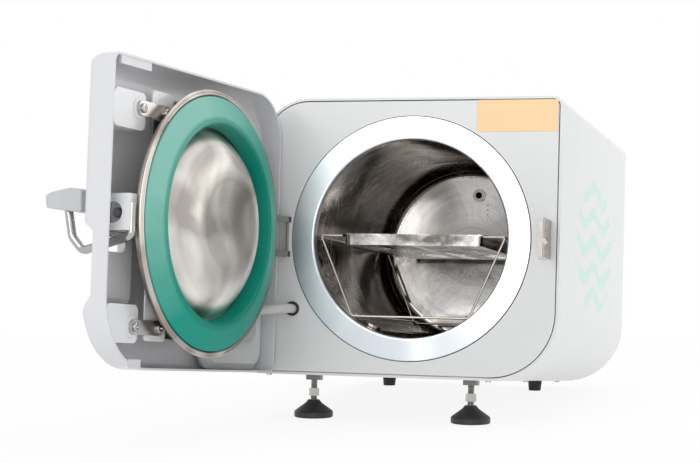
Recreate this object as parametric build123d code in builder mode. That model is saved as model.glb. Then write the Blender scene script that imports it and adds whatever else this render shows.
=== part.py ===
from build123d import *
import math
import os

os.makedirs("parts", exist_ok=True)

# Tabletop steam autoclave, millimetres. Every piece is drawn in the cabinet's own frame:
# X to the right, Y to the back, Z up, with the chamber mouth's centre on the front panel at 0, 0, 0.
# The door is drawn shut. When saved, pieces are set as the machine stands: door open, cabinet leaning
# back on its taller front feet, bench at Z = 0 and the origin in the middle of the four feet.

# Cabinet
cabinet_left = -200.0
cabinet_right = 190.0
cabinet_top = 178.0
cabinet_bottom = -175.0
cabinet_depth = 550.0
corner_top_left = 62.0
corner_top_right = 12.0
corner_bottom_right = 85.0
corner_bottom_left = 6.0
sheet = 1.5
seat_gap = 0.1
body_gap = 0.3
cover_lip_width = 3.0
cover_lip_depth = 4.0
panel_gap = 1.2
panel_flange_depth = 12.0
bottom_return = 12.0
pan_edge_height = 12.0
rear_inset = 6.0

# Chamber
bore_radius = 125.0
chamber_wall = 2.0
chamber_depth = 350.0
back_knuckle = 15.0
back_crown = 4.0
flange_width = 29.0
flange_radius = bore_radius + flange_width
flange_thickness = 12.0
flange_proud = 1.5
flange_lip = 3.0
flange_hole_gap = 1.0
band_thickness = 4.0
band_width = 60.0
band_places = [chamber_depth * share for share in (0.26, 0.51, 0.77)]
insulation_thickness = 17.0
insulation_front = 50.0
insulation_back = chamber_depth - 25.0
cradle_places = (30.0, chamber_depth - 22.0)
cradle_thickness = 3.0
cradle_half_width = 95.0
cradle_top = -70.0
port_x = 10.0
port_z = 87.0
port_bore = 4.5
port_nipple_radius = 6.5
port_flange_radius = 9.0
probe_x = 23.0
probe_z = 63.0
probe_spacing = 7.0
probe_hole_radius = 1.4

# Rack, tray and baffle
wire_radius = 1.5
rack_front = 12.0
rack_back = chamber_depth - 18.0
rack_top_x = 119.0
rack_top_z = 1.5
rack_bottom_x = 76.0
rack_corner_round = 7.0
shelf_inner_x = 91.5
shelf_thickness = 1.5
tray_half_width = 90.0
tray_rim = 5.0
tray_bottom_z = -8.0
tray_sheet = 1.2
tray_front = 12.0
tray_length = chamber_depth - 60.0
tray_draft = 1.5
tray_slot_length = 34.0
tray_slot_width = 9.0
baffle_half_width = 12.0
baffle_front = 28.0
baffle_length = chamber_depth - 46.0
baffle_height = 3.2
baffle_rim = 1.2
baffle_turn = 27.0

# Feet
front_foot_y = 45.0
rear_foot_y = cabinet_depth - 70.0
left_foot_x = -133.0
right_foot_x = 74.0
rear_left_x = -150.0
rear_right_x = 73.0
front_foot_height = 54.0
rear_foot_height = 15.0
foot_block_size = 18.0
foot_block_height = 8.0
stud_radius = 4.0
stud_hole_radius = 4.3
nut_across_flats = 12.0
nut_height = 10.0
pad_radius = 25.0
pad_disc_height = 9.0
pad_height = 22.0
pad_neck_radius = 9.0
pad_socket_radius = 5.2
rear_foot_radius = 10.5
rear_foot_tip_radius = 8.5
base_screw_radius = 3.5
base_screw_height = 2.0
base_screw_inset = 10.0
base_screw_end = 30.0

# Pieces behind the chamber
pipe_bend_radius = 16.0
pipe_run_share = 0.4
pipe_condenser_offset = 30.0
branch_distance = 60.0
branch_height = 20.0
valve_hexagon_radius = 11.0
valve_hexagon_height = 8.0
valve_bonnet_radius = 8.5
valve_bonnet_height = 26.0
valve_stem_radius = 3.0
valve_stem_height = 10.0
condenser_depth = 40.0
fin_count = 12
fin_gap = 3.5
fin_end = 8.0
tank_length = 66.0
tank_width = 96.0
tank_wall = 2.0
pump_x = -25.0
pump_y = cabinet_depth - 95.0
pump_radius = 34.0
pump_length = 64.0
pump_foot_length = 110.0
pump_foot_height = 3.5
pump_foot_margin = 4.0
pump_neck_length = 8.0
pump_head_length = 28.0
pump_head_round = 5.0
pump_port_radius = 4.0
pump_port_height = 14.0
pump_port_offset = 14.0
valve_x = -95.0
valve_y = cabinet_depth - 110.0
valve_body_width = 30.0
valve_body_length = 96.0
valve_body_height = 24.0
valve_pitch = 32.0
valve_neck_radius = 4.0
valve_neck_height = 6.0
coil_size = 24.0
coil_height = 26.0
board_y = cabinet_depth - 105.0
board_length = 110.0
board_height = 130.0
board_margin = 10.0
bracket_distance = 12.0
bracket_foot_width = 18.0
board_stand_off = 6.0
stand_off_radius = 3.0
board_part_height = 14.0
transformer_length = 28.0
transformer_height = 34.0
relay_length = 22.0
relay_height = 16.0
relay_pitch = 24.0
capacitor_radius = 8.0

# Door, drawn shut
door_open_angle = 100.0
hinge_x = -174.0
hinge_y = -31.0
hinge_pin_radius = 4.0
hinge_running_gap = 0.05
hinge_barrel_radius = 8.0
hinge_arm_middle_z = 22.0
hinge_arm_thickness = 7.0
hinge_web_depth = 8.0
hinge_root_width = 7.0
door_inset = 1.0
door_rim_y = -33.0
door_depth = 35.5
door_wall = 2.5
door_edge_round = 9.0
door_top_round = 24.0
rib_thickness = 3.0
rib_height = 9.0
top_rib_left = 112.0
top_rib_right = 174.0
low_rib_left = 112.0
low_rib_right = 138.0
pocket_depth = 15.5
pocket_high = -10.0
pocket_low = -115.0
pocket_slope_high = 12.0
pocket_slope_low = 22.0
pocket_left = 116.0
rod_slot_left = 127.0
rod_slot_right = 168.0
rod_slot_height = 16.0
plate_front_y = -38.0
plate_thickness = 4.0
plate_left = -150.0
plate_right = 104.0
plate_half_height = 138.0
dish_sheet = 2.0
seal_face_y = -9.0
seal_reach = 25.0
seal_crest_inset = 4.5
seal_inner_inset = 11.0
seal_outer_radius = bore_radius + seal_reach
seal_crest_radius = bore_radius - seal_crest_inset
seal_inner_radius = bore_radius - seal_inner_inset
seal_crest_height = 8.8
dish_floor_y = -22.5
dome_flank = 23.0
dome_y = 9.5
dome_round_share = 0.9
dome_foot_share = 0.07
rim_margin = 8.0
dish_rim_radius = seal_outer_radius + rim_margin
dish_rim_y = -13.5
rim_bead_radius = 2.0
centre_bolt_radius = 6.0
centre_boss_radius = 26.0
block_left = 121.0
block_right = 185.0
block_top = 138.0
block_height = 43.0
lower_block_top = -101.0
strap_width = 17.0
strap_thickness = 3.0
strap_left = 76.0
strap_screw_x = 134.0
strap_right = strap_screw_x + strap_width / 2
mount_thickness = 2.0
mount_left = 66.0
mount_right = 110.0
mount_boss_radius = 12.5
screw_head_radius = 5.5
screw_head_height = 3.2
cross_length = 6.0
cross_width = 1.2
recess_depth = 1.6

# Latch and handle, drawn shut and let go
pivot_offset = 2.0
pivot_x = dish_rim_radius + pivot_offset
pivot_y = -22.0
latch_width = 31.0
latch_right = pivot_x + 8.0
latch_left = latch_right - latch_width
latch_front = -55.0
latch_back = -20.0
latch_bottom = -20.0
latch_top = 21.0
latch_plate = 3.0
base_left = 78.0
latch_hole_radius = 12.0
bolt_radius = 6.0
bolt_y = -41.5
bolt_gap = 0.08
bolt_left = latch_left - 19.0
bolt_right = latch_right - 7.0
rod_radius = 5.0
rod_bends = [7.0, 60.0, 10.0, 14.0]
pivot_top = 11.0
grip_root_y = -82.0
grip_tip_y = -131.0
grip_half_width = 13.0
strike_gap = 5.0
strike_width = 6.0
strike_left = latch_right + strike_gap
strike_right = strike_left + strike_width
strike_half_height = 23.5
strike_plate = 2.0
strike_depth = 50.0
strike_lip_top = 19.5
strike_notch_high = 6.0
strike_notch_low = -4.0
strike_slot_length = 26.0
strike_slot_width = 8.0

# Door face
window_width = 84.0
window_height = 46.0
window_x = 5.0
window_z = 88.0
window_gap = 0.2
keypad_width = 96.0
keypad_height = 26.0
keypad_z = 38.0
face_plate_thickness = 1.2
board_clearance = 4.0
board_thickness = 1.6

# Conduit between cabinet and door
conduit_radius = 6.0
conduit_hole_radius = 7.5
conduit_x = -151.5
conduit_z = -91.6
grommet_lip = 1.7

# Fill lid on the cabinet's top
fill_x = 60.0
fill_y = cabinet_depth - 80.0
fill_length = 70.0
fill_width = 90.0
fill_corner = 8.0
lid_overlap = 3.0
lid_thickness = 2.0
lid_pin_radius = 1.5
lid_barrel_radius = 3.0
lid_barrel_length = 30.0

# Rear panel fittings
inlet_width = 27.5
inlet_height = 20.0
inlet_x = 120.0
inlet_z = -120.0
fitting_depth = 20.0
rocker_width = 13.0
rocker_height = 19.5
rocker_x = 84.0
rocker_swing = 12.0
fuse_x = 50.0
fuse_pitch = 22.0
fuse_radius = 6.5
drain_x = -140.0
drain_z = -130.0
drain_radius = 7.0
fan_x = -130.0
fan_z = 95.0
fan_size = 80.0
fan_depth = 25.0
fan_opening_radius = 36.0
fan_hub_radius = 14.0
fan_shaft_radius = 1.5
spider_thickness = 3.0
spider_width = 5.0
hub_clearance = 4.0
blade_count = 7
blade_pitch_angle = 35.0
blade_chord = 17.0
blade_thickness = 1.6
blade_tip_gap = 0.5
vent_x = 110.0
vent_z = 95.0
vent_count = 9
vent_length = 60.0
vent_width = 4.0
vent_pitch = 9.0

# Where the machine stands
foot_spacing_y = rear_foot_y - front_foot_y
lean = math.degrees(math.atan2(front_foot_height - rear_foot_height, foot_spacing_y))
lean_rad = math.radians(lean)
front_foot_bottom = cabinet_bottom - front_foot_height
footprint_x = (left_foot_x + right_foot_x) / 2
footprint_y = (front_foot_y + rear_foot_y) / 2


def bench_z(y):
    """Height of the bench below a point at depth y, in the cabinet's frame."""
    return front_foot_bottom + (y - front_foot_y) * math.tan(lean_rad)


# The cabinet's frame leans back about X, then rises and shifts until the bench is at Z = 0.
leaned = Location((0, 0, 0), (-lean, 0, 0))
foot_on_bench = leaned * Location((footprint_x, footprint_y, bench_z(footprint_y)))
standing = Location((-foot_on_bench.position.X, -foot_on_bench.position.Y, -foot_on_bench.position.Z))
on_bench = standing * leaned
hinge_line = Location((hinge_x, hinge_y, 0))
door_swing = hinge_line * Location((0, 0, 0), (0, 0, -door_open_angle)) * hinge_line.inverse()
on_open_door = on_bench * door_swing


def save(builder, name, place=on_bench):
    """Label a finished piece, set it where it stands and write it to its own file."""
    placed = builder.part.moved(place)
    placed.label = name
    export_step(placed, f"parts/{name}.step")


def front_plane(y):
    """Plane that faces the front at depth y: local x is X, local y is Z, positive is towards the user."""
    return Plane(origin=(0, y, 0), x_dir=(1, 0, 0), z_dir=(0, -1, 0))


def side_plane(x):
    """Plane that faces right at x: local x is Y, local y is Z."""
    return Plane(origin=(x, 0, 0), x_dir=(0, 1, 0), z_dir=(1, 0, 0))


def cabinet_outline(inset, least_round=0.5):
    """The cabinet's end view, drawn smaller by inset all round: four corners, each with its own round."""
    left = cabinet_left + inset
    right = cabinet_right - inset
    top = cabinet_top - inset
    bottom = cabinet_bottom + inset
    rounds = [
        max(corner_bottom_left - inset, least_round),
        max(corner_bottom_right - inset, least_round),
        max(corner_top_right - inset, least_round),
        max(corner_top_left - inset, least_round),
    ]
    with BuildLine() as outline:
        FilletPolyline((left, bottom), (right, bottom), (right, top), (left, top), radius=rounds, close=True)
    make_face(outline.edges())


def ring_profile(inner, outer, front, back):
    """A rectangle in the XY plane, radius against depth, for turning about Y."""
    with Locations(((inner + outer) / 2, (front + back) / 2)):
        Rectangle(outer - inner, back - front)


def cross_recess(x, y, z):
    """Cut a cross-shaped driver recess that starts at depth y and runs towards the back."""
    with BuildSketch(front_plane(y)) as recess:
        with Locations((x, z)):
            Rectangle(cross_length, cross_width)
            Rectangle(cross_width, cross_length)
    extrude(recess.sketch, amount=-recess_depth, mode=Mode.SUBTRACT)


cover_inner = sheet + seat_gap
panel_inset = cover_lip_width + panel_gap
pan_bottom = cabinet_bottom + sheet + seat_gap
pan_top = pan_bottom + sheet
pan_left = cabinet_left + corner_bottom_left
pan_right = cabinet_right - corner_bottom_right - 1.0
rear_face_y = cabinet_depth - rear_inset

# Outer cover: left side, top, right side and the large lower corner, open below and behind the lip
with BuildPart() as outer_cover:
    with BuildSketch(front_plane(0)):
        cabinet_outline(0)
    extrude(amount=-cabinet_depth)
    with BuildSketch(front_plane(cover_lip_depth)):
        cabinet_outline(sheet)
    extrude(amount=-cabinet_depth, mode=Mode.SUBTRACT)
    with BuildSketch(front_plane(0)):
        cabinet_outline(cover_lip_width)
    extrude(amount=-cover_lip_depth, mode=Mode.SUBTRACT)
    opening_left = cabinet_left + bottom_return
    opening_right = pan_right - bottom_return
    opening_y = (cover_lip_depth + cabinet_depth) / 2
    with BuildSketch(Plane.XY.offset(cabinet_bottom)):
        with Locations(((opening_left + opening_right) / 2, opening_y)):
            Rectangle(opening_right - opening_left, cabinet_depth - cover_lip_depth)
    extrude(amount=sheet, mode=Mode.SUBTRACT)
    with BuildSketch(Plane.XY.offset(cabinet_top)):
        with Locations((fill_x, fill_y)):
            RectangleRounded(fill_length, fill_width, fill_corner)
    extrude(amount=-sheet, mode=Mode.SUBTRACT)
save(outer_cover, "outer_cover")

# Base pan: flat steel tray with turned-up edges, lying on the cover's lower returns
pan_front = cover_lip_depth + panel_flange_depth + seat_gap
pan_back = rear_face_y - seat_gap
with BuildPart() as base_pan:
    with BuildSketch(Plane.XY.offset(pan_bottom)):
        with Locations(((pan_left + pan_right) / 2, (pan_front + pan_back) / 2)):
            RectangleRounded(pan_right - pan_left, pan_back - pan_front, corner_bottom_left)
    extrude(amount=pan_edge_height)
    with BuildSketch(Plane.XY.offset(pan_top)):
        with Locations(((pan_left + pan_right) / 2, (pan_front + pan_back) / 2)):
            Rectangle(pan_right - pan_left - 2 * sheet, pan_back - pan_front - 2 * sheet)
    extrude(amount=pan_edge_height, mode=Mode.SUBTRACT)
    with BuildSketch(Plane.XY.offset(pan_bottom)):
        with Locations((left_foot_x, front_foot_y), (right_foot_x, front_foot_y)):
            Circle(stud_hole_radius + 1.0)
    extrude(amount=sheet, mode=Mode.SUBTRACT)
save(base_pan, "base_pan")

# Front panel: shallow tray with a turned flange, a hole for the ring and one for the conduit
with BuildPart() as front_panel:
    with BuildSketch(front_plane(0)):
        cabinet_outline(panel_inset)
    extrude(amount=-panel_flange_depth)
    with BuildSketch(front_plane(sheet)):
        cabinet_outline(panel_inset + sheet)
    extrude(amount=-panel_flange_depth, mode=Mode.SUBTRACT)
    fillet(edges().filter_by(Plane.XZ).group_by(Axis.Y)[0], radius=0.8)
    with BuildSketch(front_plane(0)):
        Circle(flange_radius + flange_hole_gap)
        with Locations((conduit_x, conduit_z)):
            Circle(conduit_hole_radius)
    extrude(amount=-sheet, mode=Mode.SUBTRACT)
save(front_panel, "front_panel")

# Chamber flange: the polished ring round the mouth, its inner lip rounded
flange_back_y = flange_thickness - flange_proud
with BuildPart() as chamber_flange:
    with BuildSketch(Plane.XY):
        ring_profile(bore_radius, flange_radius, -flange_proud, flange_back_y)
    revolve(axis=Axis.Y)
    front_circles = edges().filter_by(GeomType.CIRCLE).group_by(Axis.Y)[0].sort_by(SortBy.RADIUS)
    fillet(front_circles[0], radius=flange_lip)
    front_circles = edges().filter_by(GeomType.CIRCLE).group_by(Axis.Y)[0].sort_by(SortBy.RADIUS)
    fillet(front_circles[-1], radius=0.8)
save(chamber_flange, "chamber_flange")


def shell_line(radius, knuckle, back, crown):
    """Half of the chamber's section: along the wall, round the knuckle and over the crown to the axis."""
    straight = Line((radius, flange_back_y + seat_gap), (radius, back - knuckle))
    turn = RadiusArc(straight @ 1, (radius - knuckle, back), -knuckle)
    ThreePointArc(turn @ 1, ((radius - knuckle) / 2, back + 0.75 * crown), (0, back + crown))


# Chamber shell: rolled tube with a dished back, holes for the steam port and the probe
with BuildPart() as chamber_shell:
    with BuildSketch(Plane.XY):
        with BuildLine():
            outer_back = chamber_depth + chamber_wall
            shell_line(bore_radius + chamber_wall, back_knuckle + chamber_wall, outer_back, back_crown)
            Line((0, outer_back + back_crown), (0, flange_back_y + seat_gap))
            Line((0, flange_back_y + seat_gap), (bore_radius + chamber_wall, flange_back_y + seat_gap))
        make_face()
        with BuildLine():
            shell_line(bore_radius, back_knuckle, chamber_depth, back_crown)
            Line((0, chamber_depth + back_crown), (0, flange_back_y + seat_gap))
            Line((0, flange_back_y + seat_gap), (bore_radius, flange_back_y + seat_gap))
        make_face(mode=Mode.SUBTRACT)
    revolve(axis=Axis.Y)
    with BuildSketch(front_plane(chamber_depth - back_knuckle)):
        with Locations((port_x, port_z)):
            Circle(port_nipple_radius + seat_gap)
        with Locations((probe_x, probe_z)):
            with GridLocations(1, probe_spacing, 1, 4):
                Circle(probe_hole_radius)
    extrude(amount=-back_knuckle - back_crown - 2 * chamber_wall, mode=Mode.SUBTRACT)
save(chamber_shell, "chamber_shell")


def back_face_y(x, z, crown_start):
    """Depth of the crowned back at a point, on the circle through its edge and its middle."""
    reach = bore_radius - back_knuckle
    fall = (x * x + z * z) / (reach * reach) * back_crown
    return crown_start + back_crown - fall


# Steam port: a nipple through the back, with a flange on the inside
port_face_y = back_face_y(port_x, port_z, chamber_depth)
with BuildPart() as steam_port:
    with BuildSketch(front_plane(port_face_y - 3.2)):
        with Locations((port_x, port_z)):
            Circle(port_flange_radius)
    extrude(amount=-2)
    with BuildSketch(front_plane(port_face_y - 1.2)):
        with Locations((port_x, port_z)):
            Circle(port_nipple_radius)
    extrude(amount=-24)
    with BuildSketch(front_plane(port_face_y - 3.2)):
        with Locations((port_x, port_z)):
            Circle(port_bore)
    extrude(amount=-26, mode=Mode.SUBTRACT)
save(steam_port, "steam_port")

# Temperature probe: sheath against the back's outside, behind the row of small holes
probe_face_y = back_face_y(probe_x, probe_z, chamber_depth + chamber_wall)
with BuildPart() as temperature_probe:
    with BuildSketch(front_plane(probe_face_y + 1.0)):
        with Locations((probe_x, probe_z)):
            SlotOverall(4 * probe_spacing + 6, 10, rotation=90)
    extrude(amount=-4)
    with BuildSketch(front_plane(probe_face_y + 5.0)):
        with Locations((probe_x, probe_z)):
            Circle(3)
    extrude(amount=-22)
save(temperature_probe, "temperature_probe")

# Heater bands round the shell, each with its clamping ears
band_inner = bore_radius + chamber_wall + seat_gap
band_outer = band_inner + band_thickness
with BuildPart() as heater_bands:
    for place in band_places:
        with BuildSketch(Plane.XY):
            ring_profile(band_inner, band_outer, place - band_width / 2, place + band_width / 2)
        revolve(axis=Axis.Y)
save(heater_bands, "heater_bands")

# Insulation: a blanket over the bands, split nowhere, with a groove for each band
with BuildPart() as insulation:
    with BuildSketch(Plane.XY):
        ring_profile(band_inner, band_inner + insulation_thickness, insulation_front, insulation_back)
        for place in band_places:
            with Locations(((band_inner + band_outer + seat_gap) / 2, place)):
                Rectangle(band_thickness + seat_gap, band_width + 2 * seat_gap, mode=Mode.SUBTRACT)
    revolve(axis=Axis.Y)
save(insulation, "insulation")

# Cradles: two saddle plates that carry the chamber on the base pan
with BuildPart() as chamber_cradles:
    for place in cradle_places:
        with BuildSketch(front_plane(place)):
            with Locations((0, (cradle_top + pan_top + seat_gap) / 2)):
                Rectangle(2 * cradle_half_width, cradle_top - pan_top - seat_gap)
            Circle(bore_radius + chamber_wall + seat_gap, mode=Mode.SUBTRACT)
        extrude(amount=-cradle_thickness)
        with BuildSketch(Plane.XY.offset(pan_top + seat_gap)):
            with Locations((0, place + cradle_thickness / 2 - 6)):
                Rectangle(2 * cradle_half_width, 14)
        extrude(amount=cradle_thickness)
save(chamber_cradles, "chamber_cradles")

# Hinge bracket: two arms that carry the pin in front of the panel, joined by a thin web
arm_low_z = hinge_arm_middle_z - hinge_arm_thickness / 2
hinge_root_x = hinge_x + 14.0
with BuildPart() as hinge_bracket:
    for level in (arm_low_z, -arm_low_z - hinge_arm_thickness):
        with BuildSketch(Plane.XY.offset(level)):
            with Locations((hinge_x, hinge_y)):
                Circle(hinge_barrel_radius)
            with Locations((hinge_root_x, -seat_gap - sheet / 2)):
                Rectangle(hinge_root_width, sheet)
            make_hull()
        extrude(amount=hinge_arm_thickness)
    with BuildSketch(Plane.XY.offset(-arm_low_z)):
        with Locations((hinge_root_x, -hinge_web_depth / 2 - seat_gap)):
            Rectangle(sheet, hinge_web_depth)
    extrude(amount=2 * arm_low_z)
    with BuildSketch(Plane.XY.offset(-arm_low_z - hinge_arm_thickness)):
        with Locations((hinge_x, hinge_y)):
            Circle(hinge_pin_radius + hinge_running_gap)
    extrude(amount=2 * (arm_low_z + hinge_arm_thickness), mode=Mode.SUBTRACT)
save(hinge_bracket, "hinge_bracket")

# Hinge pin with a thin head on the upper arm
pin_half = arm_low_z + hinge_arm_thickness
with BuildPart() as hinge_pin:
    with Locations((hinge_x, hinge_y, 0)):
        Cylinder(hinge_pin_radius, 2 * pin_half + 4)
    with BuildSketch(Plane.XY.offset(pin_half + seat_gap)):
        with Locations((hinge_x, hinge_y)):
            Circle(hinge_pin_radius + 2)
    extrude(amount=2)
save(hinge_pin, "hinge_pin")

# Latch strike: a folded steel catch that stands out from the panel, its lip hooked over the bolt's path
with BuildPart() as latch_strike:
    with BuildSketch(Plane.XY.offset(-strike_half_height)):
        with BuildLine():
            strike_front = -strike_depth
            Polyline(
                (strike_right, -seat_gap),
                (strike_right, strike_front),
                (strike_left, strike_front),
                (strike_left, strike_front + strike_plate),
                (strike_right - strike_plate, strike_front + strike_plate),
                (strike_right - strike_plate, -strike_plate - seat_gap),
                (strike_left - 8, -strike_plate - seat_gap),
                (strike_left - 8, -seat_gap),
                close=True,
            )
        make_face()
    extrude(amount=2 * strike_half_height)
    outer_bend = edges().filter_by(Axis.Z).group_by(Axis.Y)[0].sort_by(Axis.X)[-1]
    fillet(outer_bend, radius=strike_plate)
    notch_middle = (strike_notch_high + strike_notch_low) / 2
    with BuildSketch(front_plane(strike_front)):
        with Locations((strike_left, notch_middle)):
            Rectangle(strike_width + strike_plate, strike_notch_high - strike_notch_low)
        with Locations((strike_left, strike_half_height)):
            Rectangle(strike_width + strike_plate, 2 * (strike_half_height - strike_lip_top))
    extrude(amount=-strike_plate, mode=Mode.SUBTRACT)
    with BuildSketch(side_plane(strike_right - strike_plate)):
        with Locations((strike_front + strike_slot_length / 2, strike_notch_low)):
            SlotOverall(strike_slot_length + strike_slot_width, strike_slot_width)
    extrude(amount=strike_plate, mode=Mode.SUBTRACT)
save(latch_strike, "latch_strike")

# Strike screws, through the foot of the strike into the panel
with BuildPart() as strike_screws:
    for z in (-15, 15):
        with BuildSketch(front_plane(-strike_plate - 2 * seat_gap)):
            with Locations((strike_left - 2, z)):
                Circle(3.2)
        extrude(amount=2)
        cross_recess(strike_left - 2, -strike_plate - 2 * seat_gap - 2, z)
save(strike_screws, "strike_screws")

# Grommet: a rubber ring that grips the panel's edge round the conduit
with BuildPart() as conduit_grommet:
    with BuildSketch(Plane.XY):
        inner = conduit_radius + body_gap
        with BuildLine():
            Polyline(
                (inner, -grommet_lip),
                (conduit_hole_radius + grommet_lip, -grommet_lip),
                (conduit_hole_radius + grommet_lip, -seat_gap),
                (conduit_hole_radius - seat_gap, -seat_gap),
                (conduit_hole_radius - seat_gap, sheet + seat_gap),
                (conduit_hole_radius + grommet_lip, sheet + seat_gap),
                (conduit_hole_radius + grommet_lip, sheet + grommet_lip),
                (inner, sheet + grommet_lip),
                close=True,
            )
        make_face()
    revolve(axis=Axis.Y)
conduit_grommet.part = conduit_grommet.part.moved(Location((conduit_x, 0, conduit_z)))
save(conduit_grommet, "conduit_grommet")

# Door conduit: from inside the cabinet, out through the grommet and over to the open door
conduit_route = [
    (conduit_x, 40, conduit_z),
    (conduit_x, -22, conduit_z),
    (conduit_x - 22, -42, conduit_z - 4),
    (conduit_x - 45, -46, conduit_z - 6),
]
with BuildPart() as door_conduit:
    with BuildLine() as conduit_line:
        FilletPolyline(*conduit_route, radius=[22.0, 30.0])
    with BuildSketch(Plane(origin=conduit_line.line @ 0, z_dir=conduit_line.line % 0)):
        Circle(conduit_radius)
    sweep()
save(door_conduit, "door_conduit")

# Foot blocks: tapped blocks under the pan that take the front studs
block_top_z = pan_bottom - seat_gap
with BuildPart() as foot_blocks:
    with BuildSketch(Plane.XY.offset(block_top_z - foot_block_height)):
        with Locations((left_foot_x, front_foot_y), (right_foot_x, front_foot_y)):
            RectangleRounded(foot_block_size, foot_block_size, 2)
            Circle(stud_hole_radius, mode=Mode.SUBTRACT)
    extrude(amount=foot_block_height)
save(foot_blocks, "foot_blocks")


def foot_stud(x):
    """Threaded stud along the cabinet's own upright, from above the pan down into the pad's socket."""
    low = front_foot_bottom + pad_height - 8
    with BuildPart() as stud:
        with BuildSketch(Plane.XY.offset(low)):
            with Locations((x, front_foot_y)):
                Circle(stud_radius)
        extrude(amount=pan_top + 14 - low)
        chamfer(edges().filter_by(GeomType.CIRCLE).group_by(Axis.Z)[-1], length=0.8)
    return stud


def foot_nut(x):
    """Hexagon nut on the stud, just above the pad."""
    with BuildPart() as nut:
        with BuildSketch(Plane.XY.offset(front_foot_bottom + pad_height + 5)):
            with Locations((x, front_foot_y)):
                RegularPolygon(nut_across_flats / 2, 6, major_radius=False)
                Circle(stud_radius + seat_gap, mode=Mode.SUBTRACT)
        extrude(amount=nut_height)
    return nut


def foot_pad():
    """Moulded pad, turned about its own upright: disc, hollow cone and neck with a socket. Stands level."""
    with BuildPart() as pad:
        with BuildSketch(Plane.XZ):
            with BuildLine():
                side = Line((pad_radius, 1), (pad_radius, pad_disc_height - 2))
                shoulder = Line((pad_radius - 2, pad_disc_height), (pad_neck_radius + 3, pad_height - 5))
                Line(side @ 1, shoulder @ 0)
                neck = Line((pad_neck_radius, pad_height - 2), (pad_neck_radius - 1.5, pad_height))
                Spline(shoulder @ 1, neck @ 0, tangents=[shoulder % 1, (-0.6, 1)])
                Polyline(
                    neck @ 1,
                    (pad_socket_radius, pad_height),
                    (pad_socket_radius, pad_height - 9.5),
                    (0, pad_height - 9.5),
                    (0, 0),
                    (pad_radius - 1, 0),
                    side @ 0,
                )
            make_face()
        revolve(axis=Axis.Z)
    return pad


# The pads stand level on the bench under the studs' lower ends
for side_name, foot_x in (("left", left_foot_x), ("right", right_foot_x)):
    save(foot_stud(foot_x), f"{side_name}_foot_stud")
    save(foot_nut(foot_x), f"{side_name}_foot_nut")
    socket = on_bench * Location((foot_x, front_foot_y, front_foot_bottom + pad_height - 5))
    level_place = Location((socket.position.X, socket.position.Y, 0))
    save(foot_pad(), f"{side_name}_foot_pad", level_place)

# Rear feet: rubber cones under the pan, pressed flat where they meet the bench
with BuildPart() as rear_feet:
    for x in (rear_left_x, rear_right_x):
        with BuildSketch(Plane.XY.offset(block_top_z)):
            with Locations((x, rear_foot_y)):
                Circle(rear_foot_radius)
        with BuildSketch(Plane.XY.offset(block_top_z - rear_foot_height - 4)):
            with Locations((x, rear_foot_y)):
                Circle(rear_foot_tip_radius)
        loft()
    bench_plane = Plane(
        origin=(0, rear_foot_y, bench_z(rear_foot_y)),
        x_dir=(1, 0, 0),
        z_dir=(0, -math.sin(lean_rad), math.cos(lean_rad)),
    )
    split(bisect_by=bench_plane, keep=Keep.TOP)
save(rear_feet, "rear_feet")

# Base screws: pan heads along the pan's edges, seen from below
with BuildPart() as base_screws:
    for x in (cabinet_left + base_screw_inset, pan_right - base_screw_radius - sheet):
        for y in (base_screw_end, cabinet_depth / 2, cabinet_depth - base_screw_end):
            with BuildSketch(Plane.XY.offset(cabinet_bottom - seat_gap)):
                with Locations((x, y)):
                    Circle(base_screw_radius)
            extrude(amount=-base_screw_height)
save(base_screws, "base_screws")

# Wire rack: two trapezoid frames, four long wires and two side shelves, welded up as one
rack_side_slope = math.atan2(math.sqrt(bore_radius**2 - rack_bottom_x**2), rack_top_x - rack_bottom_x)
corner_half_angle = (math.pi - rack_side_slope) / 2
corner_pull = rack_corner_round * (1 / math.sin(corner_half_angle) - 1)
rack_corner_reach = bore_radius - wire_radius - body_gap + corner_pull
rack_bottom_z = -math.sqrt(rack_corner_reach**2 - rack_bottom_x**2)
shelf_low_z = rack_top_z + wire_radius
with BuildPart() as wire_rack:
    for place in (rack_front, rack_back):
        with BuildLine(front_plane(place)) as frame_line:
            FilletPolyline(
                (-rack_top_x, rack_top_z),
                (-rack_bottom_x, rack_bottom_z),
                (rack_bottom_x, rack_bottom_z),
                (rack_top_x, rack_top_z),
                radius=rack_corner_round,
            )
        with BuildSketch(Plane(origin=frame_line.line @ 0, z_dir=frame_line.line % 0)):
            Circle(wire_radius)
        sweep(path=frame_line.line)
    corner_step = 3.2
    wire_spots = [
        (-rack_top_x + 1.2, rack_top_z),
        (rack_top_x - 1.2, rack_top_z),
        (-rack_bottom_x + 6, rack_bottom_z + corner_step - wire_radius),
        (rack_bottom_x - 6, rack_bottom_z + corner_step - wire_radius),
    ]
    for x, z in wire_spots:
        with BuildSketch(front_plane(rack_front)):
            with Locations((x, z)):
                Circle(wire_radius)
        extrude(amount=-(rack_back - rack_front))
    shelf_middle = (shelf_inner_x + rack_top_x) / 2
    shelf_width = rack_top_x - shelf_inner_x
    with BuildSketch(Plane.XY.offset(shelf_low_z - 0.2)):
        with Locations((0, (rack_front + rack_back) / 2)):
            with Locations((-shelf_middle, 0), (shelf_middle, 0)):
                Rectangle(shelf_width, rack_back - rack_front)
    extrude(amount=shelf_thickness + 0.2)
save(wire_rack, "wire_rack")

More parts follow.
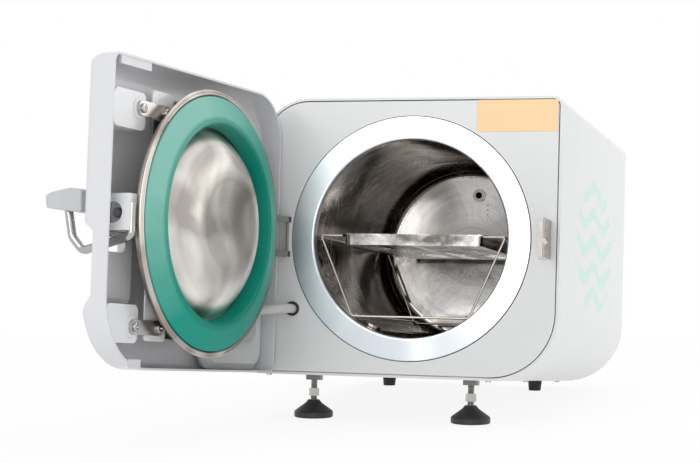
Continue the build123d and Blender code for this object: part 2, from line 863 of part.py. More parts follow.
# Tray: pressed sheet with an outward rim that runs on the shelves, slotted bottom
shelf_top_z = shelf_low_z + shelf_thickness
tray_rim_z = shelf_top_z + body_gap
tray_middle_y = tray_front + tray_length / 2
with BuildPart() as tray:
    with BuildSketch(Plane.XY.offset(tray_bottom_z)):
        with Locations((0, tray_middle_y)):
            RectangleRounded(2 * (tray_half_width - tray_draft), tray_length - 2 * tray_draft, 8)
    with BuildSketch(Plane.XY.offset(tray_rim_z + tray_sheet)):
        with Locations((0, tray_middle_y)):
            RectangleRounded(2 * tray_half_width, tray_length, 9)
    loft()
    with BuildSketch(Plane.XY.offset(tray_rim_z)):
        with Locations((0, tray_middle_y)):
            RectangleRounded(2 * (tray_half_width + tray_rim), tray_length + 2, 10)
    extrude(amount=tray_sheet)
    with BuildSketch(Plane.XY.offset(tray_bottom_z + tray_sheet)):
        with Locations((0, tray_middle_y)):
            inside = tray_half_width - tray_draft - tray_sheet
            RectangleRounded(2 * inside, tray_length - 2 * (tray_draft + tray_sheet), 7)
    with BuildSketch(Plane.XY.offset(tray_rim_z + tray_sheet)):
        with Locations((0, tray_middle_y)):
            RectangleRounded(2 * (tray_half_width - tray_sheet), tray_length - 2 * tray_sheet, 8)
    loft(mode=Mode.SUBTRACT)
    with BuildSketch(Plane.XY.offset(tray_bottom_z)):
        with Locations((0, tray_middle_y)):
            with GridLocations(tray_slot_length + 8, tray_slot_width + 10, 4, 14):
                SlotOverall(tray_slot_length, tray_slot_width)
    extrude(amount=tray_sheet, mode=Mode.SUBTRACT)
save(tray, "tray")

# Steam baffle: a long shallow channel with round ends, lying on the chamber's wall at the lower left
baffle_low = -math.sqrt((bore_radius - body_gap) ** 2 - baffle_half_width**2)
baffle_width = 2 * baffle_half_width
with BuildPart() as steam_baffle:
    with BuildSketch(Plane.XY.offset(baffle_low)):
        with Locations((0, baffle_front + baffle_length / 2)):
            SlotOverall(baffle_length, baffle_width, rotation=90)
    extrude(amount=baffle_height)
    with BuildSketch(Plane.XY.offset(baffle_low)):
        with Locations((0, baffle_front + baffle_length / 2)):
            inside_width = baffle_width - 2 * baffle_rim
            SlotOverall(baffle_length - 2 * baffle_rim, inside_width, rotation=90)
    extrude(amount=baffle_height - baffle_rim, mode=Mode.SUBTRACT)
steam_baffle.part = steam_baffle.part.moved(Location((0, 0, 0), (0, baffle_turn, 0)))
save(steam_baffle, "steam_baffle")

# Fill lid: a flap over the filling hole, its barrel between the two barrels of a hinge leaf on the top
lid_under_z = cabinet_top + body_gap
lid_back_y = fill_y + fill_width / 2 + lid_overlap
lid_pin_y = lid_back_y + lid_barrel_radius + 1
lid_pin_z = lid_under_z + lid_barrel_radius
with BuildPart() as fill_lid:
    with BuildSketch(Plane.XY.offset(lid_under_z)):
        with Locations((fill_x, fill_y)):
            RectangleRounded(fill_length + 2 * lid_overlap, fill_width + 2 * lid_overlap, fill_corner)
    extrude(amount=lid_thickness)
    fillet(edges().group_by(Axis.Z)[-1], radius=0.6)
    with BuildSketch(side_plane(fill_x - lid_barrel_length / 2)):
        with Locations((lid_pin_y, lid_pin_z)):
            Circle(lid_barrel_radius)
        with Locations((lid_pin_y - 3, lid_under_z + lid_thickness / 2)):
            Rectangle(6, lid_thickness)
    extrude(amount=lid_barrel_length)
    with BuildSketch(side_plane(fill_x - lid_barrel_length / 2)):
        with Locations((lid_pin_y, lid_pin_z)):
            Circle(lid_pin_radius + hinge_running_gap)
    extrude(amount=lid_barrel_length, mode=Mode.SUBTRACT)
save(fill_lid, "fill_lid")

with BuildPart() as fill_lid_hinge:
    for start in (fill_x - lid_barrel_length / 2 - body_gap - 10, fill_x + lid_barrel_length / 2 + body_gap):
        with BuildSketch(side_plane(start)):
            with Locations((lid_pin_y, lid_pin_z)):
                Circle(lid_barrel_radius)
            with Locations((lid_pin_y + 4, cabinet_top + seat_gap + 0.75)):
                Rectangle(8, 1.5)
        extrude(amount=10)
        with BuildSketch(side_plane(start)):
            with Locations((lid_pin_y, lid_pin_z)):
                Circle(lid_pin_radius + hinge_running_gap)
        extrude(amount=10, mode=Mode.SUBTRACT)
    with BuildSketch(Plane.XY.offset(cabinet_top + seat_gap)):
        with Locations((fill_x, lid_pin_y + 11)):
            Rectangle(lid_barrel_length + 20.6, 12)
    extrude(amount=1.5)
    with BuildSketch(side_plane(fill_x - lid_barrel_length / 2 - 11)):
        with Locations((lid_pin_y, lid_pin_z)):
            Circle(lid_pin_radius)
    extrude(amount=lid_barrel_length + 22)
save(fill_lid_hinge, "fill_lid_hinge")

# Rear panel, with holes for the fan, the inlet, the rocker, the fuses and the drain, and a row of vents
with BuildPart() as rear_panel:
    with BuildSketch(front_plane(rear_face_y)):
        cabinet_outline(cover_inner)
        with Locations((fan_x, fan_z)):
            Circle(fan_opening_radius, mode=Mode.SUBTRACT)
        with Locations((inlet_x, inlet_z)):
            Rectangle(inlet_width + 2 * seat_gap, inlet_height + 2 * seat_gap, mode=Mode.SUBTRACT)
        with Locations((rocker_x, inlet_z)):
            Rectangle(rocker_width + 4, rocker_height + 4, mode=Mode.SUBTRACT)
        with Locations((fuse_x, inlet_z), (fuse_x - fuse_pitch, inlet_z)):
            Circle(fuse_radius + seat_gap, mode=Mode.SUBTRACT)
        with Locations((drain_x, drain_z)):
            Circle(drain_radius + seat_gap, mode=Mode.SUBTRACT)
        with Locations((vent_x, vent_z)):
            with GridLocations(vent_pitch, 1, vent_count, 1):
                SlotOverall(vent_length, vent_width, rotation=90, mode=Mode.SUBTRACT)
    extrude(amount=-sheet)
save(rear_panel, "rear_panel")

# Mains inlet: flanged socket with three recessed blades
rear_outside = rear_face_y + sheet
with BuildPart() as mains_inlet:
    with BuildSketch(front_plane(rear_outside + seat_gap)):
        with Locations((inlet_x, inlet_z)):
            RectangleRounded(inlet_width + 10, inlet_height + 6, 3)
    extrude(amount=-3)
    with BuildSketch(front_plane(rear_outside + seat_gap)):
        with Locations((inlet_x, inlet_z)):
            Rectangle(inlet_width, inlet_height)
    extrude(amount=fitting_depth)
    with BuildSketch(front_plane(rear_outside + seat_gap + 3)):
        with Locations((inlet_x, inlet_z)):
            RectangleRounded(inlet_width - 4, inlet_height - 4, 2)
    extrude(amount=16, mode=Mode.SUBTRACT)
    with BuildSketch(front_plane(rear_outside - 14)):
        with Locations((inlet_x - 7, inlet_z - 2), (inlet_x, inlet_z + 3), (inlet_x + 7, inlet_z - 2)):
            Rectangle(2, 4)
    extrude(amount=-14)
save(mains_inlet, "mains_inlet")

# Rocker frame and rocker, the rocker switched off
rocker_pivot_y = rear_outside - 4.0
rocker_pin_radius = 1.2
with BuildPart() as rocker_frame:
    with BuildSketch(front_plane(rear_outside + seat_gap)):
        with Locations((rocker_x, inlet_z)):
            RectangleRounded(rocker_width + 8, rocker_height + 8, 2)
            Rectangle(rocker_width + 1, rocker_height + 1, mode=Mode.SUBTRACT)
    extrude(amount=-2.5)
    with BuildSketch(front_plane(rear_outside + seat_gap)):
        with Locations((rocker_x, inlet_z)):
            Rectangle(rocker_width + 3.6, rocker_height + 3.6)
            Rectangle(rocker_width + 1, rocker_height + 1, mode=Mode.SUBTRACT)
    extrude(amount=fitting_depth)
    with BuildSketch(front_plane(rear_outside + seat_gap - fitting_depth)):
        with Locations((rocker_x, inlet_z)):
            Rectangle(rocker_width + 3.6, rocker_height + 3.6)
    extrude(amount=2)
    with BuildSketch(side_plane(rocker_x - rocker_width)):
        with Locations((rocker_pivot_y, inlet_z)):
            Circle(rocker_pin_radius + hinge_running_gap)
    extrude(amount=2 * rocker_width, mode=Mode.SUBTRACT)
save(rocker_frame, "rocker_frame")

with BuildPart() as power_rocker:
    with BuildSketch(side_plane(rocker_x - rocker_width / 2)):
        with BuildLine():
            Polyline(
                (rocker_pivot_y + 7, inlet_z - rocker_height / 2 + 1.5),
                (rocker_pivot_y + 4.5, inlet_z),
                (rocker_pivot_y + 7, inlet_z + rocker_height / 2 - 1.5),
                (rocker_pivot_y - 2, inlet_z + rocker_height / 2 - 2.5),
                (rocker_pivot_y - 5, inlet_z),
                (rocker_pivot_y - 2, inlet_z - rocker_height / 2 + 2.5),
                close=True,
            )
        make_face()
    extrude(amount=rocker_width)
    with BuildSketch(side_plane(rocker_x - rocker_width / 2 - 1.6)):
        with Locations((rocker_pivot_y, inlet_z)):
            Circle(rocker_pin_radius)
    extrude(amount=rocker_width + 3.2)
rocker_pivot = Location((rocker_x, rocker_pivot_y, inlet_z))
rocker_off = rocker_pivot * Location((0, 0, 0), (-rocker_swing, 0, 0)) * rocker_pivot.inverse()
power_rocker.part = power_rocker.part.moved(rocker_off)
save(power_rocker, "power_rocker")

# Fuse holders and drain fitting
with BuildPart() as fuse_holders:
    for x in (fuse_x, fuse_x - fuse_pitch):
        with BuildSketch(front_plane(rear_outside + seat_gap)):
            with Locations((x, inlet_z)):
                Circle(fuse_radius + 2.5)
        extrude(amount=-4)
        with BuildSketch(front_plane(rear_outside + seat_gap)):
            with Locations((x, inlet_z)):
                Circle(fuse_radius)
        extrude(amount=fitting_depth)
        with BuildSketch(front_plane(rear_outside + seat_gap + 4)):
            with Locations((x, inlet_z)):
                Rectangle(2 * fuse_radius, 1.6)
        extrude(amount=1.5, mode=Mode.SUBTRACT)
save(fuse_holders, "fuse_holders")

with BuildPart() as drain_fitting:
    with BuildSketch(front_plane(rear_outside + seat_gap)):
        with Locations((drain_x, drain_z)):
            RegularPolygon(drain_radius + 3, 6)
    extrude(amount=-6)
    with BuildSketch(front_plane(rear_outside - fitting_depth)):
        with Locations((drain_x, drain_z)):
            Circle(drain_radius)
    extrude(amount=-fitting_depth - 18)
    with BuildSketch(front_plane(rear_outside - fitting_depth)):
        with Locations((drain_x, drain_z)):
            Circle(drain_radius - 3)
    extrude(amount=-fitting_depth - 18, mode=Mode.SUBTRACT)
save(drain_fitting, "drain_fitting")

# Fan behind the rear panel: frame with a spider that carries the rotor's shaft
fan_front_y = rear_face_y - seat_gap - fan_depth
with BuildPart() as fan_frame:
    with BuildSketch(front_plane(rear_face_y - seat_gap)):
        with Locations((fan_x, fan_z)):
            RectangleRounded(fan_size, fan_size, 5)
            Circle(fan_opening_radius, mode=Mode.SUBTRACT)
    extrude(amount=fan_depth)
    with BuildSketch(front_plane(fan_front_y + spider_thickness)):
        with Locations((fan_x, fan_z)):
            Circle(fan_hub_radius)
            Rectangle(2 * fan_opening_radius + spider_thickness, spider_width)
            Rectangle(spider_width, 2 * fan_opening_radius + spider_thickness)
            Circle(fan_shaft_radius + hinge_running_gap, mode=Mode.SUBTRACT)
    extrude(amount=spider_thickness)
save(fan_frame, "fan_frame")

# Fan rotor: hub with seven pitched blades and a shaft
with BuildPart() as fan_rotor:
    hub_front_y = fan_front_y + hub_clearance
    hub_length = fan_depth - hub_clearance - spider_thickness
    with BuildSketch(front_plane(hub_front_y + hub_length)):
        Circle(fan_hub_radius)
    extrude(amount=hub_length)
    with BuildSketch(front_plane(hub_front_y)):
        Circle(fan_shaft_radius)
    extrude(amount=hub_clearance)
    for turn in range(blade_count):
        angle = math.radians(turn * 360 / blade_count)
        outwards = Vector(math.cos(angle), 0, math.sin(angle))
        root = outwards * (fan_hub_radius - blade_thickness) + Vector(0, hub_front_y + hub_length / 2, 0)
        with BuildSketch(Plane(origin=root, x_dir=(0, 1, 0), z_dir=outwards)):
            SlotOverall(blade_chord, blade_thickness, rotation=blade_pitch_angle)
        extrude(amount=fan_opening_radius - fan_hub_radius - blade_tip_gap)
fan_rotor.part = fan_rotor.part.moved(Location((fan_x, 0, fan_z)))
save(fan_rotor, "fan_rotor")

# Condenser: tube block with fins, hung on the front of the fan's frame
with BuildPart() as condenser:
    with Locations((fan_x, fan_front_y - seat_gap - condenser_depth / 2, fan_z)):
        Box(fan_size, condenser_depth, fan_size)
    with BuildSketch(side_plane(fan_x - fan_size / 2)):
        with Locations((fan_front_y - condenser_depth / 2, fan_z)):
            with GridLocations(1, fan_size / fin_count, 1, fin_count - 1):
                Rectangle(2 * condenser_depth, fin_gap)
    extrude(amount=fan_size - fin_end, mode=Mode.SUBTRACT)
save(condenser, "condenser")

# Steam pipe: from the port's nipple over to the condenser, with a branch for the safety valve
pipe_start_y = port_face_y - 1.2 + 24 + seat_gap
pipe_end_y = fan_front_y - condenser_depth - 2 * seat_gap
pipe_run_y = (pipe_start_y + pipe_end_y) / 2
pipe_bend = min(pipe_bend_radius, pipe_run_share * (pipe_end_y - pipe_start_y))
branch_x = port_x - branch_distance
with BuildPart() as steam_pipe:
    with BuildLine() as pipe_line:
        FilletPolyline(
            (port_x, pipe_start_y, port_z),
            (port_x, pipe_run_y, port_z),
            (fan_x + pipe_condenser_offset, pipe_run_y, port_z),
            (fan_x + pipe_condenser_offset, pipe_end_y, port_z),
            radius=pipe_bend,
        )
    with BuildSketch(Plane(origin=pipe_line.line @ 0, z_dir=pipe_line.line % 0)):
        Circle(port_nipple_radius)
    sweep(path=pipe_line.line)
    with BuildSketch(Plane.XY.offset(port_z)):
        with Locations((branch_x, pipe_run_y)):
            Circle(port_nipple_radius)
    extrude(amount=branch_height)
save(steam_pipe, "steam_pipe")

# Safety valve on the branch: hexagon, bonnet and lifting ring
with BuildPart() as safety_valve:
    valve_low = port_z + branch_height + seat_gap
    with BuildSketch(Plane.XY.offset(valve_low)):
        with Locations((branch_x, pipe_run_y)):
            RegularPolygon(valve_hexagon_radius, 6)
    extrude(amount=valve_hexagon_height)
    with BuildSketch(Plane.XY.offset(valve_low + valve_hexagon_height)):
        with Locations((branch_x, pipe_run_y)):
            Circle(valve_bonnet_radius)
    extrude(amount=valve_bonnet_height)
    with BuildSketch(Plane.XY.offset(valve_low + valve_hexagon_height + valve_bonnet_height)):
        with Locations((branch_x, pipe_run_y)):
            Circle(valve_stem_radius)
    extrude(amount=valve_stem_height)
    chamfer(edges().filter_by(GeomType.CIRCLE).group_by(Axis.Z)[-1], length=0.8)
save(safety_valve, "safety_valve")

# Water tank: a tall moulded box on the pan, its neck under the filling hole
tank_low = pan_top + seat_gap
tank_high = cabinet_top - 28
neck_high = cabinet_top - sheet - body_gap
with BuildPart() as water_tank:
    with BuildSketch(Plane.XY.offset(tank_low)):
        with Locations((fill_x, fill_y)):
            RectangleRounded(tank_length, tank_width, 8)
    extrude(amount=tank_high - tank_low)
    with BuildSketch(Plane.XY.offset(tank_high)):
        with Locations((fill_x, fill_y)):
            RectangleRounded(fill_length - 14, fill_width - 14, 6)
    extrude(amount=neck_high - tank_high)
    with BuildSketch(Plane.XY.offset(tank_low + tank_wall)):
        with Locations((fill_x, fill_y)):
            RectangleRounded(tank_length - 2 * tank_wall, tank_width - 2 * tank_wall, 6)
    extrude(amount=tank_high - tank_low - 2 * tank_wall, mode=Mode.SUBTRACT)
    with BuildSketch(Plane.XY.offset(tank_high - 2 * tank_wall)):
        with Locations((fill_x, fill_y)):
            RectangleRounded(fill_length - 18, fill_width - 18, 4)
    extrude(amount=neck_high - tank_high + 2 * tank_wall, mode=Mode.SUBTRACT)
save(water_tank, "water_tank")

# Vacuum pump: motor with cooling ribs and a head, on a foot plate
pump_low = pan_top + seat_gap
pump_z = pump_low + pump_foot_height - seat_gap + pump_radius
pump_front = pump_y - pump_foot_length / 2 + pump_foot_margin
with BuildPart() as vacuum_pump:
    with BuildSketch(Plane.XY.offset(pump_low)):
        with Locations((pump_x, pump_y)):
            RectangleRounded(2 * (pump_radius + pump_foot_margin), pump_foot_length, pump_foot_margin)
    extrude(amount=pump_foot_height)
    with BuildSketch(front_plane(pump_front)):
        with Locations((pump_x, pump_z)):
            Circle(pump_radius)
    extrude(amount=-pump_length)
    with BuildSketch(front_plane(pump_front + pump_length)):
        with Locations((pump_x, pump_z)):
            Circle(pump_radius / 2)
    extrude(amount=-pump_neck_length)
    with BuildSketch(front_plane(pump_front + pump_length + pump_neck_length)):
        with Locations((pump_x, pump_z)):
            RectangleRounded(2 * pump_radius, 2 * pump_radius, pump_head_round)
    extrude(amount=-pump_head_length)
    port_y = pump_front + pump_length + pump_neck_length + pump_head_length / 2
    with BuildSketch(Plane.XY.offset(pump_z + pump_radius)):
        with Locations((pump_x - pump_port_offset, port_y), (pump_x + pump_port_offset, port_y)):
            Circle(pump_port_radius)
    extrude(amount=pump_port_height)
save(vacuum_pump, "vacuum_pump")

# Valve block: manifold on the pan with three coils on top
with BuildPart() as valve_block:
    valve_body_low = pan_top + seat_gap
    with Locations((valve_x, valve_y, valve_body_low + valve_body_height / 2)):
        Box(valve_body_width, valve_body_length, valve_body_height)
    for step in (-valve_pitch, 0, valve_pitch):
        with BuildSketch(Plane.XY.offset(valve_body_low + valve_body_height)):
            with Locations((valve_x, valve_y + step)):
                Circle(valve_neck_radius)
        extrude(amount=valve_neck_height)
        with BuildSketch(Plane.XY.offset(valve_body_low + valve_body_height + valve_neck_height)):
            with Locations((valve_x, valve_y + step)):
                RectangleRounded(coil_size, coil_size, coil_size / 8)
        extrude(amount=coil_height)
save(valve_block, "valve_block")

# Control board on its bracket by the left wall
bracket_x = cabinet_left + bracket_distance
bracket_low = pan_top + seat_gap
board_middle_z = bracket_low + (board_height + board_margin) / 2
board_plane_x = bracket_x + sheet + board_stand_off
with BuildPart() as control_board:
    with Locations((bracket_x + sheet / 2, board_y, bracket_low + board_height / 2)):
        Box(sheet, board_length + board_margin, board_height)
    with Locations((bracket_x + bracket_foot_width / 2, board_y, bracket_low + sheet / 2)):
        Box(bracket_foot_width, board_length + board_margin, sheet)
    with BuildSketch(side_plane(board_plane_x)):
        with Locations((board_y, board_middle_z)):
            Rectangle(board_length, board_height - 2 * board_margin)
    extrude(amount=board_thickness)
    with BuildSketch(side_plane(board_plane_x)):
        with Locations((board_y, board_middle_z)):
            with GridLocations(board_length - board_margin, board_height - 3 * board_margin, 2, 2):
                Circle(stand_off_radius)
    extrude(amount=-board_stand_off)
    with BuildSketch(side_plane(board_plane_x + board_thickness)):
        with Locations((board_y - board_length / 3, board_middle_z - board_margin)):
            Rectangle(transformer_length, transformer_height)
        with Locations((board_y + board_length / 6, board_middle_z)):
            with GridLocations(1, relay_pitch, 1, 3):
                Rectangle(relay_length, relay_height)
        with Locations((board_y - board_length / 3, board_middle_z + 3 * board_margin)):
            Circle(capacitor_radius)
    extrude(amount=board_part_height)
save(control_board, "control_board")


def door_block(inset, rim_y, front_y, edge_round, top_round):
    """The door's moulded shape: cabinet outline from the rim to its rounded front, rounder along the top."""
    with BuildPart() as block:
        with BuildSketch(front_plane(rim_y)):
            cabinet_outline(inset, edge_round + 1)
        extrude(amount=rim_y - front_y)
        fillet(edges().filter_by(Plane.XZ).group_by(Axis.Y)[0], radius=edge_round)
        with BuildSketch(side_plane(cabinet_left)):
            with BuildLine():
                top = cabinet_top - inset
                low = Line((rim_y + 1, cabinet_bottom - 1), (rim_y + 1, top))
                high = Line(low @ 1, (front_y + top_round, top))
                turn = RadiusArc(high @ 1, (front_y, top - top_round), -top_round)
                Polyline(turn @ 1, (front_y, cabinet_bottom - 1), low @ 0)
            make_face()
        extrude(amount=cabinet_right - cabinet_left, mode=Mode.INTERSECT)
    return block.part


def pocket_block(grow):
    """Finger pocket cut into the door's free side, drawn larger by grow for its wall."""
    front = door_front_y - 1
    floor = door_front_y + pocket_depth + grow
    with BuildPart() as block:
        with BuildSketch(side_plane(pocket_left - grow)):
            with BuildLine():
                Polyline(
                    (front, pocket_high + grow),
                    (door_front_y, pocket_high + grow),
                    (floor, pocket_high - pocket_slope_high + grow / 2),
                    (floor, pocket_low + pocket_slope_low - grow / 2),
                    (door_front_y, pocket_low - grow),
                    (front, pocket_low - grow),
                    close=True,
                )
            make_face()
        extrude(amount=cabinet_right - pocket_left + 2 * grow)
    return block.part


# Door cover: one moulded shell with the finger pocket, the rod's slot and the opening for the display
door_front_y = door_rim_y - door_depth
rod_slot_z = -35.0
inside_front_y = door_front_y + door_wall + 0.5
plate_back_y = plate_front_y + plate_thickness
with BuildPart() as door_cover:
    add(door_block(door_inset, door_rim_y, door_front_y, door_edge_round, door_top_round))
    add(pocket_block(0), mode=Mode.SUBTRACT)
    inside_inset = door_inset + door_wall
    inside_edge = door_edge_round - door_wall
    inside_top = door_top_round - door_wall
    hollow = door_block(inside_inset, door_rim_y, inside_front_y, inside_edge, inside_top)
    add(hollow - pocket_block(door_wall), mode=Mode.SUBTRACT)
    ribs = [
        (top_rib_left, top_rib_right, cabinet_top - inside_inset - rib_height / 2),
        (low_rib_left, low_rib_right, cabinet_bottom + inside_inset + rib_height / 2),
    ]
    for left, right, z in ribs:
        with BuildSketch(front_plane(plate_back_y)):
            with Locations(((left + right) / 2, z)):
                Rectangle(right - left, rib_height + 1)
        extrude(amount=rib_thickness)
    with BuildSketch(front_plane(inside_front_y + pocket_depth + door_wall + 4)):
        with Locations(((rod_slot_left + rod_slot_right) / 2, rod_slot_z)):
            SlotOverall(rod_slot_right - rod_slot_left, rod_slot_height)
    extrude(amount=pocket_depth + 2 * door_wall + 6, mode=Mode.SUBTRACT)
    with BuildSketch(front_plane(inside_front_y)):
        with Locations((window_x, window_z)):
            RectangleRounded(window_width - 8, window_height - 8, 3)
    extrude(amount=door_wall + 1, mode=Mode.SUBTRACT)
    with BuildSketch(front_plane(door_front_y + face_plate_thickness)):
        with Locations((window_x, window_z)):
            RectangleRounded(window_width + 2 * window_gap, window_height + 2 * window_gap, 4)
        with Locations((window_x, keypad_z)):
            RectangleRounded(keypad_width + 2 * window_gap, keypad_height + 2 * window_gap, 4)
    extrude(amount=face_plate_thickness, mode=Mode.SUBTRACT)
save(door_cover, "door_cover", on_open_door)

# Display window, key pad and the board behind them
with BuildPart() as display_window:
    with BuildSketch(front_plane(door_front_y + face_plate_thickness - seat_gap)):
        with Locations((window_x, window_z)):
            RectangleRounded(window_width, window_height, 4)
    extrude(amount=face_plate_thickness)
save(display_window, "display_window", on_open_door)

with BuildPart() as key_pad:
    with BuildSketch(front_plane(door_front_y + face_plate_thickness - seat_gap)):
        with Locations((window_x, keypad_z)):
            RectangleRounded(keypad_width, keypad_height, 4)
    extrude(amount=face_plate_thickness)
    with BuildSketch(front_plane(door_front_y - seat_gap)):
        with Locations((window_x, keypad_z)):
            with GridLocations(keypad_width / 4, 1, 4, 1):
                RectangleRounded(15, 11, 3)
    extrude(amount=0.5)
save(key_pad, "key_pad", on_open_door)

with BuildPart() as display_board:
    board_front_y = inside_front_y + board_clearance
    with BuildSketch(front_plane(board_front_y + board_thickness)):
        with Locations((window_x, (window_z + keypad_z) / 2 + 6)):
            Rectangle(keypad_width + 8, window_height + 52)
    extrude(amount=board_thickness)
    with BuildSketch(front_plane(board_front_y)):
        with Locations((window_x, window_z)):
            Rectangle(window_width - 10, window_height - 10)
    extrude(amount=board_clearance + 1.8)
    with BuildSketch(front_plane(board_front_y)):
        with Locations((window_x, (window_z + keypad_z) / 2 + 6)):
            with GridLocations(keypad_width, window_height + 44, 2, 2):
                Circle(2.5)
    extrude(amount=board_clearance - seat_gap)
save(display_board, "display_board", on_open_door)

# Door arm: the plate that carries the dish, with the hinge barrel between the bracket's arms
barrel_half = hinge_arm_middle_z - hinge_arm_thickness / 2 - body_gap
with BuildPart() as door_arm:
    with BuildSketch(front_plane(plate_back_y)):
        with Locations(((plate_left + plate_right) / 2, 0)):
            RectangleRounded(plate_right - plate_left, 2 * plate_half_height, 18)
        with Locations(((hinge_x + plate_left) / 2 + 5, 0)):
            Rectangle(plate_left - hinge_x + 10, 2 * barrel_half)
        Circle(centre_bolt_radius + seat_gap, mode=Mode.SUBTRACT)
    extrude(amount=plate_thickness)
    with BuildSketch(Plane.XY.offset(-barrel_half)):
        with Locations((hinge_x, hinge_y)):
            Circle(hinge_barrel_radius)
    extrude(amount=2 * barrel_half)
    with BuildSketch(Plane.XY.offset(-barrel_half)):
        with Locations((hinge_x, hinge_y)):
            Circle(hinge_pin_radius + hinge_running_gap)
    extrude(amount=2 * barrel_half, mode=Mode.SUBTRACT)
save(door_arm, "door_arm", on_open_door)


def offset_points(points, distance):
    """Points of a line that runs at a fixed distance on the right of another one, with its corners kept."""
    moved = []
    for index, point in enumerate(points):
        before = points[max(index - 1, 0)]
        after = points[min(index + 1, len(points) - 1)]
        sides = []
        for start, end in ((before, point), (point, after)):
            length = math.dist(start, end)
            if length > 0:
                sides.append(((end[1] - start[1]) / length, (start[0] - end[0]) / length))
        first, last = sides[0], sides[-1]
        share = distance / (1 + first[0] * last[0] + first[1] * last[1])
        moved.append((point[0] + share * (first[0] + last[0]), point[1] + share * (first[1] + last[1])))
    return moved


# Door dish: pressed sheet, flat in the middle, with a channel for the seal and a rolled rim
dome_foot_radius = seal_inner_radius - dish_sheet
dome_flank_length = math.hypot(dome_flank, dome_y - dish_floor_y)
dome_half_turn = math.atan2(dome_y - dish_floor_y, dome_flank) / 2
dome_round = dome_round_share * dome_flank_length / math.tan(dome_half_turn)
dome_foot_round = dome_foot_share * dome_flank_length / math.tan(dome_half_turn)
dish_line = [
    (0, dome_y),
    (dome_foot_radius - dome_flank, dome_y),
    (dome_foot_radius, dish_floor_y),
    (seal_outer_radius + body_gap, dish_floor_y),
    (seal_outer_radius + body_gap, seal_face_y),
    (dish_rim_radius - rim_bead_radius + 0.5, dish_rim_y + rim_bead_radius - 1),
]
dish_back_line = offset_points(dish_line, dish_sheet)
with BuildPart() as door_dish:
    with BuildSketch(Plane.XY):
        with BuildLine():
            face_side = FilletPolyline(*dish_line, radius=[dome_round, dome_foot_round, 2.5, 2.6])
            back_rounds = [dome_round - dish_sheet, dome_foot_round + dish_sheet, 4.5, 0.6]
            back_side = FilletPolyline(*dish_back_line, radius=back_rounds)
            Line(face_side @ 0, back_side @ 0)
            Line(face_side @ 1, back_side @ 1)
        make_face()
        with Locations((dish_rim_radius - rim_bead_radius, dish_rim_y)):
            Circle(rim_bead_radius)
    revolve(axis=Axis.Y)
    with BuildSketch(front_plane(dome_y - dish_sheet)):
        Circle(centre_boss_radius)
    extrude(amount=dome_y - dish_sheet - plate_back_y - seat_gap)
    with BuildSketch(front_plane(plate_back_y + seat_gap)):
        Circle(centre_bolt_radius)
    extrude(amount=plate_thickness + 12)
save(door_dish, "door_dish", on_open_door)

# Washer and nut that hold the dish on its plate
with BuildPart() as dish_nut:
    with BuildSketch(front_plane(plate_front_y - seat_gap)):
        Circle(centre_bolt_radius + 8)
        Circle(centre_bolt_radius + seat_gap, mode=Mode.SUBTRACT)
    extrude(amount=2)
    with BuildSketch(front_plane(plate_front_y - seat_gap - 2)):
        RegularPolygon(9.5, 6, major_radius=False)
        Circle(centre_bolt_radius + seat_gap, mode=Mode.SUBTRACT)
    extrude(amount=8)
save(dish_nut, "dish_nut", on_open_door)

# Door seal: thick rubber ring, rising from its outer edge to a round crest that enters the mouth
seal_crest_y = seal_face_y + seal_crest_height
seal_floor_y = dish_floor_y + seat_gap
with BuildPart() as door_seal:
    with BuildSketch(Plane.XY):
        with BuildLine():
            FilletPolyline(
                (seal_outer_radius, seal_face_y - 0.3),
                (seal_crest_radius - 2.5, seal_crest_y + 0.75),
                (seal_inner_radius, seal_floor_y + 2.5),
                (seal_inner_radius + 1.5, seal_floor_y),
                (seal_outer_radius - 3, seal_floor_y),
                (seal_outer_radius, seal_floor_y + 3),
                radius=[1.0, 2.6, 1.0, 0.4, 1.0, 1.0],
                close=True,
            )
        make_face()
    revolve(axis=Axis.Y)
save(door_seal, "door_seal", on_open_door)

# Corner blocks: plastic blocks between the cover's front and the steel straps
upper_block_z = block_top - block_height / 2
lower_block_z = lower_block_top - block_height / 2
strap_z = (block_top - 18, lower_block_top - 25)
mount_heights = ((111.0, 144.0), (-141.0, -88.0))
with BuildPart() as corner_blocks:
    with BuildSketch(front_plane(plate_back_y)):
        block_middle = (block_left + block_right) / 2
        with Locations((block_middle, upper_block_z), (block_middle, lower_block_z)):
            RectangleRounded(block_right - block_left, block_height, 8)
    extrude(amount=plate_back_y - inside_front_y - seat_gap)
    block_space = door_block(
        inside_inset + body_gap, plate_back_y, inside_front_y + seat_gap, inside_edge, inside_top
    )
    add(block_space, mode=Mode.INTERSECT)
    add(pocket_block(door_wall + body_gap), mode=Mode.SUBTRACT)
    with BuildSketch(front_plane(plate_back_y)):
        with Locations((strap_screw_x, strap_z[0]), (strap_screw_x, strap_z[1])):
            Circle(mount_boss_radius)
    extrude(amount=-mount_thickness)
    with BuildSketch(front_plane(plate_back_y + seat_gap)):
        for low, high in mount_heights:
            with Locations(((mount_left + mount_right) / 2, (low + high) / 2)):
                RectangleRounded(mount_right - mount_left, high - low, 4)
    extrude(amount=seat_gap - mount_thickness)
save(corner_blocks, "corner_blocks", on_open_door)

# Corner straps: steel strips with round ends, from the blocks on to the plate
plate_screw_x = strap_left + strap_width / 2
strap_front_y = plate_back_y + mount_thickness + seat_gap
with BuildPart() as corner_straps:
    for z in strap_z:
        with BuildSketch(front_plane(strap_front_y + strap_thickness)):
            with Locations(((strap_left + strap_right) / 2, z)):
                SlotOverall(strap_right - strap_left, strap_width)
        extrude(amount=strap_thickness)
save(corner_straps, "corner_straps", on_open_door)

